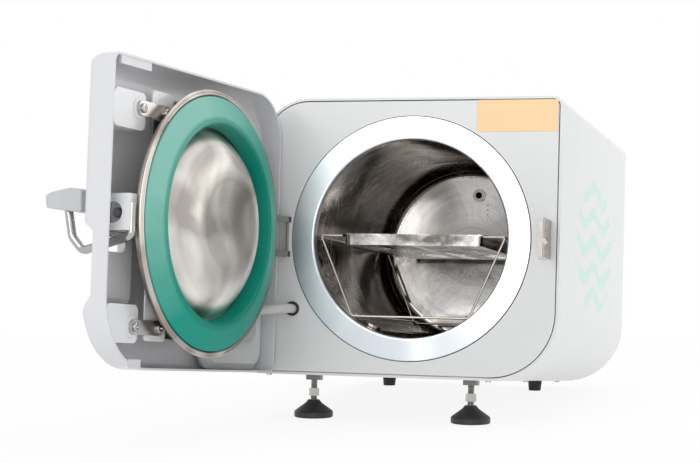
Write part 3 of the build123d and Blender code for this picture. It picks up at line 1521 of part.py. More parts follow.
# Strap screws with cross recesses
strap_back_y = strap_front_y + strap_thickness
with BuildPart() as strap_screws:
    for z in strap_z:
        for x in (strap_screw_x, plate_screw_x):
            with BuildSketch(front_plane(strap_back_y + seat_gap + screw_head_height)):
                with Locations((x, z)):
                    Circle(screw_head_radius)
            extrude(amount=screw_head_height)
    fillet(edges().filter_by(GeomType.CIRCLE).group_by(Axis.Y)[-1], radius=1.2)
    for z in strap_z:
        for x in (strap_screw_x, plate_screw_x):
            cross_recess(x, strap_back_y + seat_gap + screw_head_height - recess_depth, z)
save(strap_screws, "strap_screws", on_open_door)

# Latch bracket: moulded box on the plate, with the bolt's guides and the rod's groove
latch_middle_z = (latch_bottom + latch_top) / 2
latch_height = latch_top - latch_bottom
groove_wall_x = seal_outer_radius + body_gap + dish_sheet + 1.4
guide_back_y = bolt_y + bolt_radius + 8.5
with BuildPart() as latch_bracket:
    with BuildSketch(Plane.XY.offset(latch_bottom)):
        with BuildLine():
            Polyline(
                (latch_left, latch_front),
                (latch_right, latch_front),
                (latch_right, latch_back),
                (groove_wall_x, latch_back),
                (groove_wall_x, guide_back_y),
                (latch_left, guide_back_y),
                close=True,
            )
        make_face()
    extrude(amount=latch_height)
    box_middle_y = (latch_front + guide_back_y) / 2
    with Locations(((latch_left + latch_right) / 2, box_middle_y - latch_plate, latch_middle_z)):
        Box(
            latch_right - latch_left - 2 * latch_plate,
            guide_back_y - latch_front,
            latch_height - 2 * latch_plate,
            mode=Mode.SUBTRACT,
        )
    with Locations((latch_left + 13, box_middle_y, latch_middle_z)):
        Box(latch_plate, guide_back_y - latch_front, latch_height - latch_plate)
    with BuildSketch(front_plane(plate_front_y - seat_gap)):
        with Locations(((base_left + latch_left) / 2 + 1, latch_middle_z)):
            Rectangle(latch_left - base_left + 2, latch_height)
        with Locations((latch_left - 12, 0)):
            Rectangle(24, 2 * bolt_radius + 6, mode=Mode.SUBTRACT)
    extrude(amount=latch_plate)
    with BuildSketch(side_plane(latch_left - 1)):
        with Locations((bolt_y, 0)):
            Circle(bolt_radius + bolt_gap)
    extrude(amount=latch_right - latch_left, mode=Mode.SUBTRACT)
    with BuildSketch(side_plane(latch_right - latch_plate)):
        with Locations((bolt_y, 0)):
            Circle(latch_hole_radius)
    extrude(amount=latch_plate, mode=Mode.SUBTRACT)
    with BuildSketch(Plane.XY.offset(latch_bottom)):
        with Locations((pivot_x, pivot_y)):
            Circle(rod_radius + hinge_running_gap)
        with Locations((pivot_x, pivot_y + 4)):
            Rectangle(rod_radius * 1.7, 8)
    extrude(amount=pivot_top + body_gap - latch_bottom, mode=Mode.SUBTRACT)
    add(pocket_block(door_wall + body_gap), mode=Mode.SUBTRACT)
save(latch_bracket, "latch_bracket", on_open_door)

# Latch bolt
with BuildPart() as latch_bolt:
    with BuildSketch(side_plane(bolt_left)):
        with Locations((bolt_y, 0)):
            Circle(bolt_radius)
    extrude(amount=bolt_right - bolt_left)
    chamfer(edges().filter_by(GeomType.CIRCLE).group_by(Axis.X)[-1], length=1.5)
    chamfer(edges().filter_by(GeomType.CIRCLE).group_by(Axis.X)[0], length=0.8)
save(latch_bolt, "latch_bolt", on_open_door)

# Handle rod: one bent round bar, upright in the groove, out through the pocket and up into the grip
rod_route = [
    (pivot_x, pivot_y, pivot_top),
    (pivot_x, pivot_y, -26),
    (pivot_x, -56, -35),
    (pivot_x, -85, -42.5),
    (pivot_x, -100, -27),
    (pivot_x, -107, 7),
]
with BuildPart() as handle_rod:
    with BuildLine() as rod_line:
        FilletPolyline(*rod_route, radius=rod_bends)
    with BuildSketch(Plane(origin=rod_line.line @ 0, z_dir=rod_line.line % 0)):
        Circle(rod_radius)
    sweep(path=rod_line.line)
save(handle_rod, "handle_rod", on_open_door)

# Handle grip: moulded block with rounded edges and a blind hole for the rod
rod_end = rod_line.line @ 1
rod_end_direction = rod_line.line % 1
with BuildPart() as handle_grip:
    with BuildSketch(side_plane(pivot_x - grip_half_width)):
        with BuildLine():
            FilletPolyline(
                (grip_tip_y, 19),
                (grip_tip_y + 8, 23),
                (-98, 27.5),
                (grip_root_y, 26),
                (grip_root_y + 1, -1),
                (grip_tip_y + 2, 5),
                radius=3,
                close=True,
            )
        make_face()
    extrude(amount=2 * grip_half_width)
    side_edges = edges().filter_by(Plane.YZ)
    fillet(side_edges, radius=2.4)
    with BuildSketch(Plane(origin=rod_end + rod_end_direction * seat_gap, z_dir=rod_end_direction)):
        Circle(rod_radius + hinge_running_gap)
    extrude(amount=-30, mode=Mode.SUBTRACT)
save(handle_grip, "handle_grip", on_open_door)
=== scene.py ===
import math

import bmesh
import bpy
import numpy as np
from mathutils import Matrix, Vector


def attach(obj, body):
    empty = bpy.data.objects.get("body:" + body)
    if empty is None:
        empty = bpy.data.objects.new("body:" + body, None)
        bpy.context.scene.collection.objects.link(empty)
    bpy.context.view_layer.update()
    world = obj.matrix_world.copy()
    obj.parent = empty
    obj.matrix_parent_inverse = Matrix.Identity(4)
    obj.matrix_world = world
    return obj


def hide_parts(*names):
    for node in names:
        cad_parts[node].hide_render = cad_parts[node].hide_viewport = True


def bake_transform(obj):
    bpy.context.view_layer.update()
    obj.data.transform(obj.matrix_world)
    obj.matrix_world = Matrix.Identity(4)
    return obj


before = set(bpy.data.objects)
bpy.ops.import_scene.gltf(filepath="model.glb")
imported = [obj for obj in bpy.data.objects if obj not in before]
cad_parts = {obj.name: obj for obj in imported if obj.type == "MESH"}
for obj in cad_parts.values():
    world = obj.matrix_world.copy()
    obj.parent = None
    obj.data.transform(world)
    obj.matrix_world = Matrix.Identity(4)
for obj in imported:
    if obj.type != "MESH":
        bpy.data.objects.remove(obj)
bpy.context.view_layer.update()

# Tabletop steam autoclave, metres. The cabinet's own frame has its origin at the chamber mouth's
# centre on the front panel, with X to the right, Y to the back and Z up. The cabinet leans back on
# its taller front feet, and the door's frame is the cabinet's with the door swung open.
front_foot = Vector((-0.0295, 0.045, -0.229))
foot_rows = 0.435
foot_difference = 0.039
lean = math.atan2(foot_difference, foot_rows)
middle_of_feet = front_foot + Vector((0, foot_rows / 2, foot_rows / 2 * math.tan(lean)))
leaned = Matrix.Rotation(-lean, 4, "X")
on_bench = Matrix.Translation(-(leaned @ middle_of_feet)) @ leaned
hinge_line = Vector((-0.174, -0.031, 0))
door_open = math.radians(100)
door_swing = (Matrix.Translation(hinge_line) @ Matrix.Rotation(-door_open, 4, "Z")
              @ Matrix.Translation(-hinge_line))
on_open_door = on_bench @ door_swing


def placed(points, frame_matrix=on_bench):
    """Points drawn in the cabinet's or the door's own frame, carried to where the machine stands:
    each point times the frame's turn, plus its shift."""
    matrix = np.array(frame_matrix)
    return points @ matrix[:3, :3].T + matrix[:3, 3]


# Camera: place and turn found from the photograph's edges, in the cabinet's frame
view_turn = math.radians(17.24)
view_rise = math.radians(-3.806)
view_roll = math.radians(1.836)
view_distance = 2.335746
view_shift = (0.107115, -0.001237)
image_width = 700
image_height = 463
focal_pixels = 1862.1
middle_pixel = (324.1, 237.3)
sensor_width = 36
nearest_seen = 0.05


def add_camera():
    """Camera with the photograph's direction, roll, lens and off-centre framing."""
    back = Vector((math.sin(view_turn) * math.cos(view_rise),
                   -math.cos(view_turn) * math.cos(view_rise),
                   math.sin(view_rise)))
    right = Vector((math.cos(view_turn), math.sin(view_turn), 0))
    up = back.cross(right)
    rolled_right = math.cos(view_roll) * right + math.sin(view_roll) * up
    rolled_up = math.cos(view_roll) * up - math.sin(view_roll) * right
    place = back * view_distance - rolled_right * view_shift[0] - rolled_up * view_shift[1]
    turn = Matrix((rolled_right, rolled_up, back)).transposed().to_4x4()
    camera = bpy.data.objects.new("view", bpy.data.cameras.new("view"))
    bpy.context.scene.collection.objects.link(camera)
    camera.matrix_world = on_bench @ Matrix.Translation(place) @ turn
    camera.data.sensor_width = sensor_width
    camera.data.lens = focal_pixels / image_width * sensor_width
    camera.data.shift_x = (image_width / 2 - middle_pixel[0]) / image_width
    camera.data.shift_y = (middle_pixel[1] - image_height / 2) / image_width
    camera.data.clip_start = nearest_seen
    bpy.context.scene.camera = camera


add_camera()


class Level:
    """A shader socket that takes part in sums: each operator adds one Math node."""

    def __init__(self, finish, socket):
        self.finish = finish
        self.socket = socket

    def math(self, operation, *values):
        return self.finish.add("ShaderNodeMath", {"operation": operation},
                               dict(enumerate((self, *values))))

    def __add__(self, other):
        return self.math("ADD", other)

    def __mul__(self, other):
        return self.math("MULTIPLY", other)

    def __sub__(self, other):
        return self.math("SUBTRACT", other)

    def __truediv__(self, other):
        return self.math("DIVIDE", other)

    def __gt__(self, other):
        return self.math("GREATER_THAN", other)

    def __lt__(self, other):
        return self.math("LESS_THAN", other)

    def __rsub__(self, other):
        return self.finish.add("ShaderNodeMath", {"operation": "SUBTRACT"}, {0: other, 1: self})

    __radd__ = __add__
    __rmul__ = __mul__

    def sine(self):
        return self.math("SINE")

    def held(self):
        """The value kept between 0 and 1."""
        return self.finish.add("ShaderNodeClamp", {}, {0: self})

    def past(self, edge, rate):
        """0 up to the edge, then rising to 1 at the rate; a negative rate rises below the edge."""
        return ((self - edge) * rate).held()

    def near(self, middle, rate):
        """1 at the middle value, falling to 0 at the rate on both sides."""
        return (1.0 - (self - middle).math("ABSOLUTE") * rate).held()

    def away(self, other):
        """Distance from an axis, of two measures across it: the root of the sum of squares."""
        return (self * self + other * other).math("SQRT")


class Finish:
    """One material on a Principled shader, with its nodes made by add()."""

    def __init__(self, name, roughness=0.5, metallic=0.0, coat=0.0, **plain):
        self.material = bpy.data.materials.new(name)
        self.material.use_nodes = True
        self.tree = self.material.node_tree
        self.shader = self.tree.nodes["Principled BSDF"]
        self.set("Roughness", roughness)
        self.set("Metallic", metallic)
        self.set("Coat Weight", coat)
        for socket, value in plain.items():
            self.set(socket.replace("_", " ").title().replace("Ior", "IOR"), value)

    def fill(self, target, value):
        """Link a level to a socket, or set a plain value on it."""
        if isinstance(value, Level):
            self.tree.links.new(value.socket, target)
        else:
            target.default_value = value

    def set(self, socket, value):
        self.fill(self.shader.inputs[socket], value)

    def add(self, kind, settings=None, values=None, output=0):
        node = self.tree.nodes.new(kind)
        for key, value in (settings or {}).items():
            setattr(node, key, value)
        for key, value in (values or {}).items():
            self.fill(node.inputs[key], value)
        return Level(self, node.outputs[output])

    def here(self, frame_matrix=None):
        """Object coordinates, or the same point in the cabinet's or the door's own frame."""
        point = self.add("ShaderNodeTexCoord", {}, {}, "Object")
        if frame_matrix is None:
            return point
        back = frame_matrix.inverted()
        return self.add("ShaderNodeMapping", {}, {
            "Vector": point, "Location": back.to_translation(), "Rotation": back.to_euler("XYZ")})

    def axes(self, vector):
        """The three parts of a vector: across, depth and height."""
        node = self.add("ShaderNodeSeparateXYZ", {}, {0: vector}).socket.node
        return [Level(self, output) for output in node.outputs]

    def pair(self, first, second):
        """A vector of two levels, with nothing along the third axis."""
        return self.add("ShaderNodeCombineXYZ", {}, {0: first, 1: second, 2: 0.0})

    def stretch(self, vector, scale):
        """The vector with each axis times its own number."""
        return self.add("ShaderNodeVectorMath", {"operation": "MULTIPLY"}, {0: vector, 1: scale})

    def noise(self, vector, scale, detail=3.0, roughness=0.5, distortion=0.0):
        return self.add("ShaderNodeTexNoise", {}, {
            "Vector": vector, "Scale": scale, "Detail": detail, "Roughness": roughness,
            "Distortion": distortion})

    def blend(self, factor, low, high):
        """Colour that goes from low to high as the factor goes from 0 to 1."""
        values = {0: factor}
        for index, colour in ((6, low), (7, high)):
            values[index] = colour if isinstance(colour, Level) else (*colour, 1)
        return self.add("ShaderNodeMix", {"data_type": "RGBA"}, values, 2)

    def bump(self, height, distance, strength=1.0):
        self.set("Normal", self.add("ShaderNodeBump", {}, {
            "Height": height, "Distance": distance, "Strength": strength}))

    def gloss_coat(self, point, roughness, grain, depth):
        """Gloss and grain of a sprayed coat: clouds and dust vary the roughness, and a fine noise
        makes the orange peel. Gives the clouds back for the colour."""
        cloud = self.noise(point, 7.0, 2.0)
        dust = self.noise(point, 160.0, 2.0)
        self.set("Roughness", roughness + (dust - 0.5) * 0.10 + (cloud - 0.5) * 0.06)
        self.bump(self.noise(point, grain, 1.0), depth, 0.2)
        return cloud


def tinted(colour, share):
    """The colour times a number, none of it over 1."""
    return tuple(min(1, part * share) for part in colour)


def on_nodes(finish, *names):
    """Give CAD nodes their finish."""
    for name in names:
        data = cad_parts[name].data
        data.materials.clear()
        data.materials.append(finish.material)


# Finishes

def enamel(name, colour, roughness=0.22, grain=900.0, depth=0.00004):
    """Sprayed or moulded gloss coat: faint orange peel, faint clouds in colour and gloss."""
    finish = Finish(name, coat=0.25, coat_roughness=0.12)
    cloud = finish.gloss_coat(finish.here(), roughness, grain, depth)
    finish.set("Base Color", finish.blend(cloud, tinted(colour, 0.955), colour))
    return finish


def moulded(name, colour, roughness=0.42, grain=1800.0, depth=0.00006):
    """Moulded plastic or rubber: fine even grain, faint colour clouds."""
    finish = Finish(name)
    point = finish.here()
    cloud = finish.noise(point, 22.0, 3.0)
    finish.set("Base Color", finish.blend(cloud, tinted(colour, 0.9), tinted(colour, 1.06)))
    finish.set("Roughness", roughness + (cloud - 0.5) * 0.12)
    finish.bump(finish.noise(point, grain, 2.0), depth, 0.5)
    return finish


def brushed(name, colour, roughness=0.3):
    """Brushed metal: noise drawn out along two axes gives fine lines; clouds vary colour and
    gloss."""
    finish = Finish(name, metallic=1.0)
    point = finish.here(on_bench)
    lines = finish.noise(finish.stretch(point, (1, 1, 30)), 60.0, 4.0, 0.65)
    cloud = finish.noise(point, 16.0, 3.0)
    share = (lines * 0.6 + cloud * 0.4).held()
    finish.set("Base Color", finish.blend(share, tinted(colour, 0.82), colour))
    finish.set("Roughness", (roughness + (lines - 0.5) * 0.12 + (cloud - 0.5) * 0.12).held())
    finish.bump(lines, 0.00003, 0.5)
    return finish


def threaded(name, colour, pitch):
    """Screw thread: the bump is a sine of height once a pitch, and the roots are painted darker
    than the crests as painted shade in the grooves."""
    finish = Finish(name, metallic=1.0)
    point = finish.here(on_bench)
    height = finish.axes(point)[2]
    wave = (height * (2 * math.pi / pitch)).sine() * 0.5 + 0.5
    cloud = finish.noise(point, 90.0, 3.0)
    share = (wave * 0.8 + cloud * 0.2).held()
    # painted shade: the thread roots darker than the crests
    finish.set("Base Color", finish.blend(share, tinted(colour, 0.45), colour))
    finish.set("Roughness", 0.28 + (cloud - 0.5) * 0.12)
    finish.bump(wave, 0.0006, 1.0)
    return finish


def cover_coat():
    """The body's gloss coat with pale green waves on the right side: a sine of height, its phase a
    sine of depth, kept inside an ellipse in the middle of that side."""
    wave_pitch = 0.036
    sway = 0.010
    sway_rate = 42.0
    middle_y, middle_z = 0.276, 0.008
    half_length, half_height = 0.150, 0.090
    side_x = 0.1888
    finish = Finish("cover_coat", coat=0.25, coat_roughness=0.12)
    point = finish.here(on_bench)
    across, depth, height = finish.axes(point)
    cloud = finish.gloss_coat(point, 0.24, 900.0, 0.00003)
    swayed = height + (depth * sway_rate).sine() * sway
    wave = (swayed * (2 * math.pi / wave_pitch)).sine() > 0.15
    from_middle = ((depth - middle_y) / half_length).away((height - middle_z) / half_height)
    mask = wave * (from_middle < 1.0) * (across > side_x)
    plain = finish.blend(cloud, (0.675, 0.685, 0.69), (0.705, 0.715, 0.72))
    finish.set("Base Color", finish.blend(mask, plain, (0.44, 0.72, 0.66)))
    return finish


def ring_polish():
    """Polished ring: painted reflections in soft stripes that run out from the axis, as a noise of
    the direction alone, and painted light and shade that take the metal from bluish grey at the
    lower left to white at the upper right."""
    finish = Finish("ring_polish", metallic=1.0)
    across, _, height = finish.axes(finish.here(on_bench))
    radius = across.away(height)
    around = finish.pair(across / radius, height / radius)
    # painted reflections: soft stripes running out from the axis
    painted_reflection_streaks = finish.noise(around, 1.9, 3.0, 0.45)
    fine = finish.noise(around, 30.0, 2.0, 0.5)
    # painted light and shade: the metal lighter towards the upper right, darker towards the lower
    # left
    painted_light_to_upper_right = (across + height * 0.75) / radius
    share = (painted_reflection_streaks - 0.5) * 1.8 + (fine - 0.5) * 0.08 + painted_light_to_upper_right * 0.42 + 0.50
    finish.set("Base Color", finish.blend(share.held(), (0.56, 0.60, 0.64), (0.95, 0.955, 0.96)))
    finish.set("Roughness", (0.31 + (fine - 0.5) * 0.06 + (painted_reflection_streaks - 0.5) * 0.10).held())
    finish.bump(fine, 0.00001, 0.3)
    return finish


def chamber_polish():
    """Drawn chamber: brown-grey wall with rings, painted reflections as bright thin arcs where a
    warped noise crosses one of three values, painted shade as a dark band at the knuckle, and a
    bright grey back."""
    knuckle_y = 0.322
    back_y = 0.334
    back_radius = 0.118
    finish = Finish("chamber_polish", metallic=1.0)
    point = finish.here(on_bench)
    across, depth, height = finish.axes(point)
    radius = across.away(height)
    rings = finish.noise(finish.pair(radius, depth), 210.0, 4.0, 0.6)
    cloud = finish.noise(point, 7.0, 3.0, 0.5, 1.2)
    warped = finish.noise(point, 11.0, 2.0, 0.45, 3.2)
    # painted reflections: bright thin arcs where the warped noise crosses three values
    lines = warped.near(0.5, 26.0) + warped.near(0.58, 30.0) + warped.near(0.44, 30.0)
    painted_reflection_curves = (lines * cloud.past(0.48, 5.0)).held()
    back = depth.past(back_y, 90.0) * radius.past(back_radius, -120.0)
    # painted shade: a dark band in the corner where the wall turns into the back
    knuckle = depth.past(knuckle_y, 120.0) * (1.0 - back)
    share = ((cloud - 0.44) * 3.0 + (rings - 0.5) * 0.7 + 0.15).held()
    wall = finish.blend(share, (0.115, 0.088, 0.068), (0.46, 0.385, 0.32))
    wall = finish.blend(painted_reflection_curves * 0.75, wall, (0.92, 0.86, 0.79))
    wall = finish.blend(knuckle, wall, (0.20, 0.165, 0.14))
    disc = finish.blend(share, (0.25, 0.243, 0.235), (0.56, 0.55, 0.54))
    disc = finish.blend(painted_reflection_curves * 0.8, disc, (0.97, 0.96, 0.95))
    finish.set("Base Color", finish.blend(back, wall, disc))
    finish.set("Metallic", 1.0 - painted_reflection_curves * 0.65)
    finish.set("Roughness", (0.11 + (rings - 0.5) * 0.08 + (cloud - 0.5) * 0.06).held())
    ripples = finish.noise(point, 15.0, 1.0, 0.4, 0.8)
    finish.bump(ripples + rings * 0.012, 0.0020, 0.30)
    return finish


def dish_satin():
    """Pressed dish: soft patches of painted reflection and shade over faint rings; the rolled rim
    is browner.
    """
    rim_radius = 0.1505
    finish = Finish("dish_satin", metallic=1.0)
    point = finish.here(on_open_door)
    across, depth, height = finish.axes(point)
    radius = across.away(height)
    rings = finish.noise(finish.pair(radius, depth), 300.0, 4.0, 0.6)
    cloud = finish.noise(point, 10.0, 2.0, 0.45, 0.9)
    # painted reflection and shade: the clouds give the dish and rim their bright and dark patches
    share = ((cloud - 0.43) * 4.2 + (rings - 0.5) * 0.35 + 0.1).held()
    middle = finish.blend(share, (0.42, 0.395, 0.365), (0.88, 0.845, 0.80))
    rim = finish.blend(share, (0.34, 0.30, 0.275), (0.64, 0.59, 0.55))
    finish.set("Base Color", finish.blend(radius > rim_radius, middle, rim))
    finish.set("Roughness", (0.43 + (rings - 0.5) * 0.07 + (cloud - 0.5) * 0.10).held())
    finish.bump(rings, 0.00002, 0.4)
    return finish


def seal_rubber():
    """Moulded seal: paler on the flat outer band, full green from the crest inwards, with a painted
    pale sheen that grows with the height and towards the latch side."""
    crest_radius = 0.1235
    finish = Finish("seal_rubber", coat=0.03, coat_roughness=0.35, specular_ior_level=0.20)
    point = finish.here(on_open_door)
    across, _, height = finish.axes(point)
    radius = across.away(height)
    cloud = finish.noise(point, 18.0, 3.0)
    band = (radius.past(crest_radius, 260.0) * (0.9 + (cloud - 0.5) * 0.3)).held()
    plain = finish.blend(band, (0.0, 0.245, 0.175), (0.002, 0.315, 0.24))
    # painted sheen: a pale reflection set in the colour, strongest high up on the latch side
    towards_latch = (across * 0.75 + height * 0.66) / radius
    painted_sheen = (towards_latch + 0.1 + (cloud - 0.5) * 0.5).held() * (band * 0.55 + 0.25)
    finish.set("Base Color", finish.blend(painted_sheen.held(), plain, (0.30, 0.58, 0.51)))
    finish.set("Roughness", 0.42 + (cloud - 0.5) * 0.12)
    finish.bump(finish.noise(point, 700.0, 2.0), 0.00005, 0.4)
    return finish


def tray_polish():
    """Pressed tray: broad bright and grey patches of painted reflection drawn out along its width,
    and painted light that makes it brighter towards the right."""
    finish = Finish("tray_polish", metallic=1.0)
    point = finish.here(on_bench)
    patches = finish.noise(finish.stretch(point, (1.0, 0.5, 2.0)), 17.0, 2.0, 0.4, 0.6)
    mottle = finish.noise(finish.stretch(point, (1.0, 2.2, 1.0)), 120.0, 3.0)
    across = finish.axes(point)[0]
    # painted reflection and light: the patches, and the colour brighter towards +X
    share = ((patches - 0.5) * 3.5 + (mottle - 0.5) * 0.9 + across * 4.0 + 0.35).held()
    finish.set("Base Color", finish.blend(share, (0.20, 0.185, 0.17), (0.90, 0.90, 0.89)))
    finish.set("Roughness", (0.20 + (mottle - 0.5) * 0.2).held())
    finish.bump(mottle, 0.00006, 0.5)
    return finish


def port_steel():
    """Steam port and the pipe behind it: plain steel, with painted shade in the bore, near black;
    the bore is the part near the port's axis as far as the pipe's first end."""
    port_x, port_z = 0.010, 0.087
    bore_radius = 0.0047
    bore_end_y = 0.385
    finish = Finish("port_steel", metallic=1.0)
    point = finish.here(on_bench)
    across, depth, height = finish.axes(point)
    radius = (across - port_x).away(height - port_z)
    cloud = finish.noise(point, 90.0, 3.0)
    steel = finish.blend(cloud, (0.36, 0.345, 0.33), (0.52, 0.50, 0.48))
    # painted shade: the inside of the bore near black
    bore = (radius < bore_radius) * (depth < bore_end_y)
    finish.set("Base Color", finish.blend(bore, steel, (0.010, 0.009, 0.008)))
    finish.set("Roughness", 0.25 + (cloud - 0.5) * 0.12)
    return finish


white_coat = enamel("white_coat", (0.70, 0.71, 0.715))
door_white = enamel("door_white", (0.69, 0.695, 0.715), roughness=0.30, grain=500.0, depth=0.00001)
block_white = enamel("block_white", (0.76, 0.77, 0.785), roughness=0.25)
peach_plate = enamel("peach_plate", (0.93, 0.64, 0.345), roughness=0.45)
pump_enamel = enamel("pump_enamel", (0.10, 0.11, 0.12))
window_dark = enamel("window_dark", (0.012, 0.012, 0.014), roughness=0.08)
plain_steel = brushed("plain_steel", (0.56, 0.55, 0.54))
dark_steel = brushed("dark_steel", (0.42, 0.385, 0.355), roughness=0.27)
bracket_steel = brushed("bracket_steel", (0.25, 0.23, 0.21), roughness=0.14)
block_steel = brushed("block_steel", (0.20, 0.195, 0.19), roughness=0.30)
bright_wire = brushed("bright_wire", (0.50, 0.455, 0.41), roughness=0.17)
chrome = brushed("chrome", (0.50, 0.485, 0.47), roughness=0.14)
brass = brushed("brass", (0.72, 0.55, 0.28), roughness=0.28)
stud_thread = threaded("stud_thread", (0.60, 0.585, 0.57), pitch=0.0016)
duct_grey = moulded("duct_grey", (0.60, 0.605, 0.61), roughness=0.40)
conduit_grey = moulded("conduit_grey", (0.56, 0.565, 0.545), roughness=0.35)
black_plastic = moulded("black_plastic", (0.018, 0.018, 0.02), roughness=0.45)
black_rubber = moulded("black_rubber", (0.015, 0.015, 0.015), roughness=0.6)
grip_grey = moulded("grip_grey", (0.52, 0.53, 0.545), roughness=0.38)
tank_white = moulded("tank_white", (0.78, 0.79, 0.76), roughness=0.4)
blanket = moulded("blanket", (0.72, 0.70, 0.62), roughness=0.9, grain=400.0, depth=0.0006)
board_green = moulded("board_green", (0.02, 0.16, 0.08), roughness=0.3)

on_nodes(cover_coat(), "outer_cover")
on_nodes(white_coat, "front_panel", "rear_panel", "fill_lid")
on_nodes(door_white, "door_cover")
on_nodes(block_white, "corner_blocks", "latch_bracket")
on_nodes(plain_steel, "base_pan", "heater_bands", "chamber_cradles", "door_arm", "dish_nut",
         "corner_straps", "temperature_probe", "fill_lid_hinge")
on_nodes(dark_steel, "latch_strike")
on_nodes(bracket_steel, "hinge_bracket")
on_nodes(port_steel(), "steam_port", "steam_pipe")
on_nodes(block_steel, "foot_blocks")
on_nodes(bright_wire, "wire_rack", "steam_baffle")
on_nodes(tray_polish(), "tray")
on_nodes(ring_polish(), "chamber_flange")
on_nodes(chamber_polish(), "chamber_shell")
on_nodes(dish_satin(), "door_dish")
on_nodes(seal_rubber(), "door_seal")
on_nodes(chrome, "hinge_pin", "strike_screws", "base_screws", "handle_rod", "latch_bolt",
         "strap_screws", "left_foot_nut", "right_foot_nut", "condenser")
on_nodes(stud_thread, "left_foot_stud", "right_foot_stud")
on_nodes(brass, "drain_fitting", "safety_valve", "valve_block")
on_nodes(black_plastic, "mains_inlet", "rocker_frame", "power_rocker", "fuse_holders", "fan_frame",
         "fan_rotor", "left_foot_pad", "right_foot_pad")
on_nodes(black_rubber, "conduit_grommet", "rear_feet")
on_nodes(grip_grey, "handle_grip", "key_pad")
on_nodes(conduit_grey, "door_conduit")
on_nodes(tank_white, "water_tank")
on_nodes(pump_enamel, "vacuum_pump")
on_nodes(blanket, "insulation")
on_nodes(window_dark, "display_window")
on_nodes(board_green, "control_board", "display_board")


# New pieces

def add_surface(name, points, body, finish, closed=False, smooth=False):
    """A piece from a grid of points: rows along one parameter, columns along the other, joined by
    quads. closed says that each row runs round to its start."""
    rows, columns = points.shape[:2]
    index = np.arange(rows * columns).reshape(rows, columns)
    if closed:
        index = np.hstack((index, index[:, :1]))
    quads = np.stack((index[:-1, :-1], index[1:, :-1], index[1:, 1:], index[:-1, 1:]), -1)
    quads = quads.reshape(-1, 4)
    mesh = bpy.data.meshes.new(name)
    mesh.vertices.add(rows * columns)
    mesh.vertices.foreach_set("co", points.reshape(-1))
    mesh.loops.add(quads.size)
    mesh.loops.foreach_set("vertex_index", quads.reshape(-1))
    mesh.polygons.add(len(quads))
    mesh.polygons.foreach_set("loop_start", np.arange(0, quads.size, 4))
    mesh.update(calc_edges=True)
    mesh.validate()
    if smooth:
        mesh.shade_smooth()
    else:
        mesh.shade_flat()
    piece = bpy.data.objects.new(name, mesh)
    bpy.context.scene.collection.objects.link(piece)
    piece.data.materials.append(finish.material)
    if body:
        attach(piece, body)
    return piece


def tidy_mesh(piece):
    """Poles closed: points that coincide become one, and every face looks outwards."""
    same_place = 0.00001
    mesh = bmesh.new()
    mesh.from_mesh(piece.data)
    bmesh.ops.remove_doubles(mesh, verts=mesh.verts, dist=same_place)
    bmesh.ops.recalc_face_normals(mesh, faces=mesh.faces)
    mesh.to_mesh(piece.data)
    mesh.free()


def rounded_outline(low, high, round_radius):
    """Rounded rectangle as one closed row of points, anticlockwise: a quarter circle about each
    corner's centre."""
    quarter_turn = np.linspace(0, math.pi / 2, 8)
    right, top, left, bottom = high[0], high[1], low[0], low[1]
    corners = []
    for quarter, (x, z) in enumerate(((right, top), (left, top), (left, bottom), (right, bottom))):
        centre_x = x - round_radius if x == right else x + round_radius
        centre_z = z - round_radius if z == top else z + round_radius
        angle = quarter_turn + quarter * math.pi / 2
        corners.append(np.stack((centre_x + round_radius * np.cos(angle),
                                 centre_z + round_radius * np.sin(angle)), -1))
    return np.concatenate(corners)


def add_plate(name, body, finish, low, high, round_radius, front_y, thickness,
              frame_matrix=on_bench):
    """Thin plate across X and Z: rows run from the middle of the front face out to its edge, over
    a small bevelled edge, and back to the middle of the rear face. Each row is the outline drawn
    in towards the middle by its own share."""
    outline = rounded_outline(low, high, round_radius)
    middle = (np.array(low) + np.array(high)) / 2
    half_span = (np.array(high) - np.array(low)) / 2
    edge = thickness * 0.4
    shares = np.array((0.0, 0.5, 1.0, 1.0, 1.0, 1.0, 0.5, 0.0))
    inset = np.array((edge, edge, edge, 0, 0, edge, edge, edge))
    depth = np.array((0, 0, 0, edge, thickness - edge, thickness, thickness, thickness))
    scale = shares[:, None] * (1 - inset[:, None] / half_span)
    points = np.empty((len(shares), len(outline), 3))
    points[..., 0] = middle[0] + (outline[:, 0] - middle[0]) * scale[:, :1]
    points[..., 2] = middle[1] + (outline[:, 1] - middle[1]) * scale[:, 1:]
    points[..., 1] = (front_y + depth)[:, None]
    piece = add_surface(name, placed(points, frame_matrix), body, finish, closed=True)
    tidy_mesh(piece)


def bezier(a, b, c, d, steps):
    """Cubic curve from a to d, drawn towards b and c on the way."""
    t = np.linspace(0, 1, steps)[:, None]
    a, b, c, d = (np.array(p) for p in (a, b, c, d))
    return (1 - t) ** 3 * a + 3 * (1 - t) ** 2 * t * b + 3 * (1 - t) * t ** 2 * c + t ** 3 * d


def closed_tube(path, radius):
    """Round tube along a row of points: at each one a circle across the path's direction, its
    first axis held level, and at both ends a row that meets in the middle."""
    ahead = np.gradient(path, axis=0)
    ahead /= np.linalg.norm(ahead, axis=1)[:, None]
    level = np.cross(ahead, (0.0, 0.0, 1.0))
    level /= np.linalg.norm(level, axis=1)[:, None]
    up = np.cross(level, ahead)
    turn = np.linspace(0, 2 * math.pi, 20, endpoint=False)[None, :, None]
    rows = path[:, None] + (level[:, None] * np.cos(turn) + up[:, None] * np.sin(turn)) * radius
    first, last = (np.broadcast_to(end, rows[:1].shape) for end in (path[0], path[-1]))
    return np.concatenate((first, rows, last))


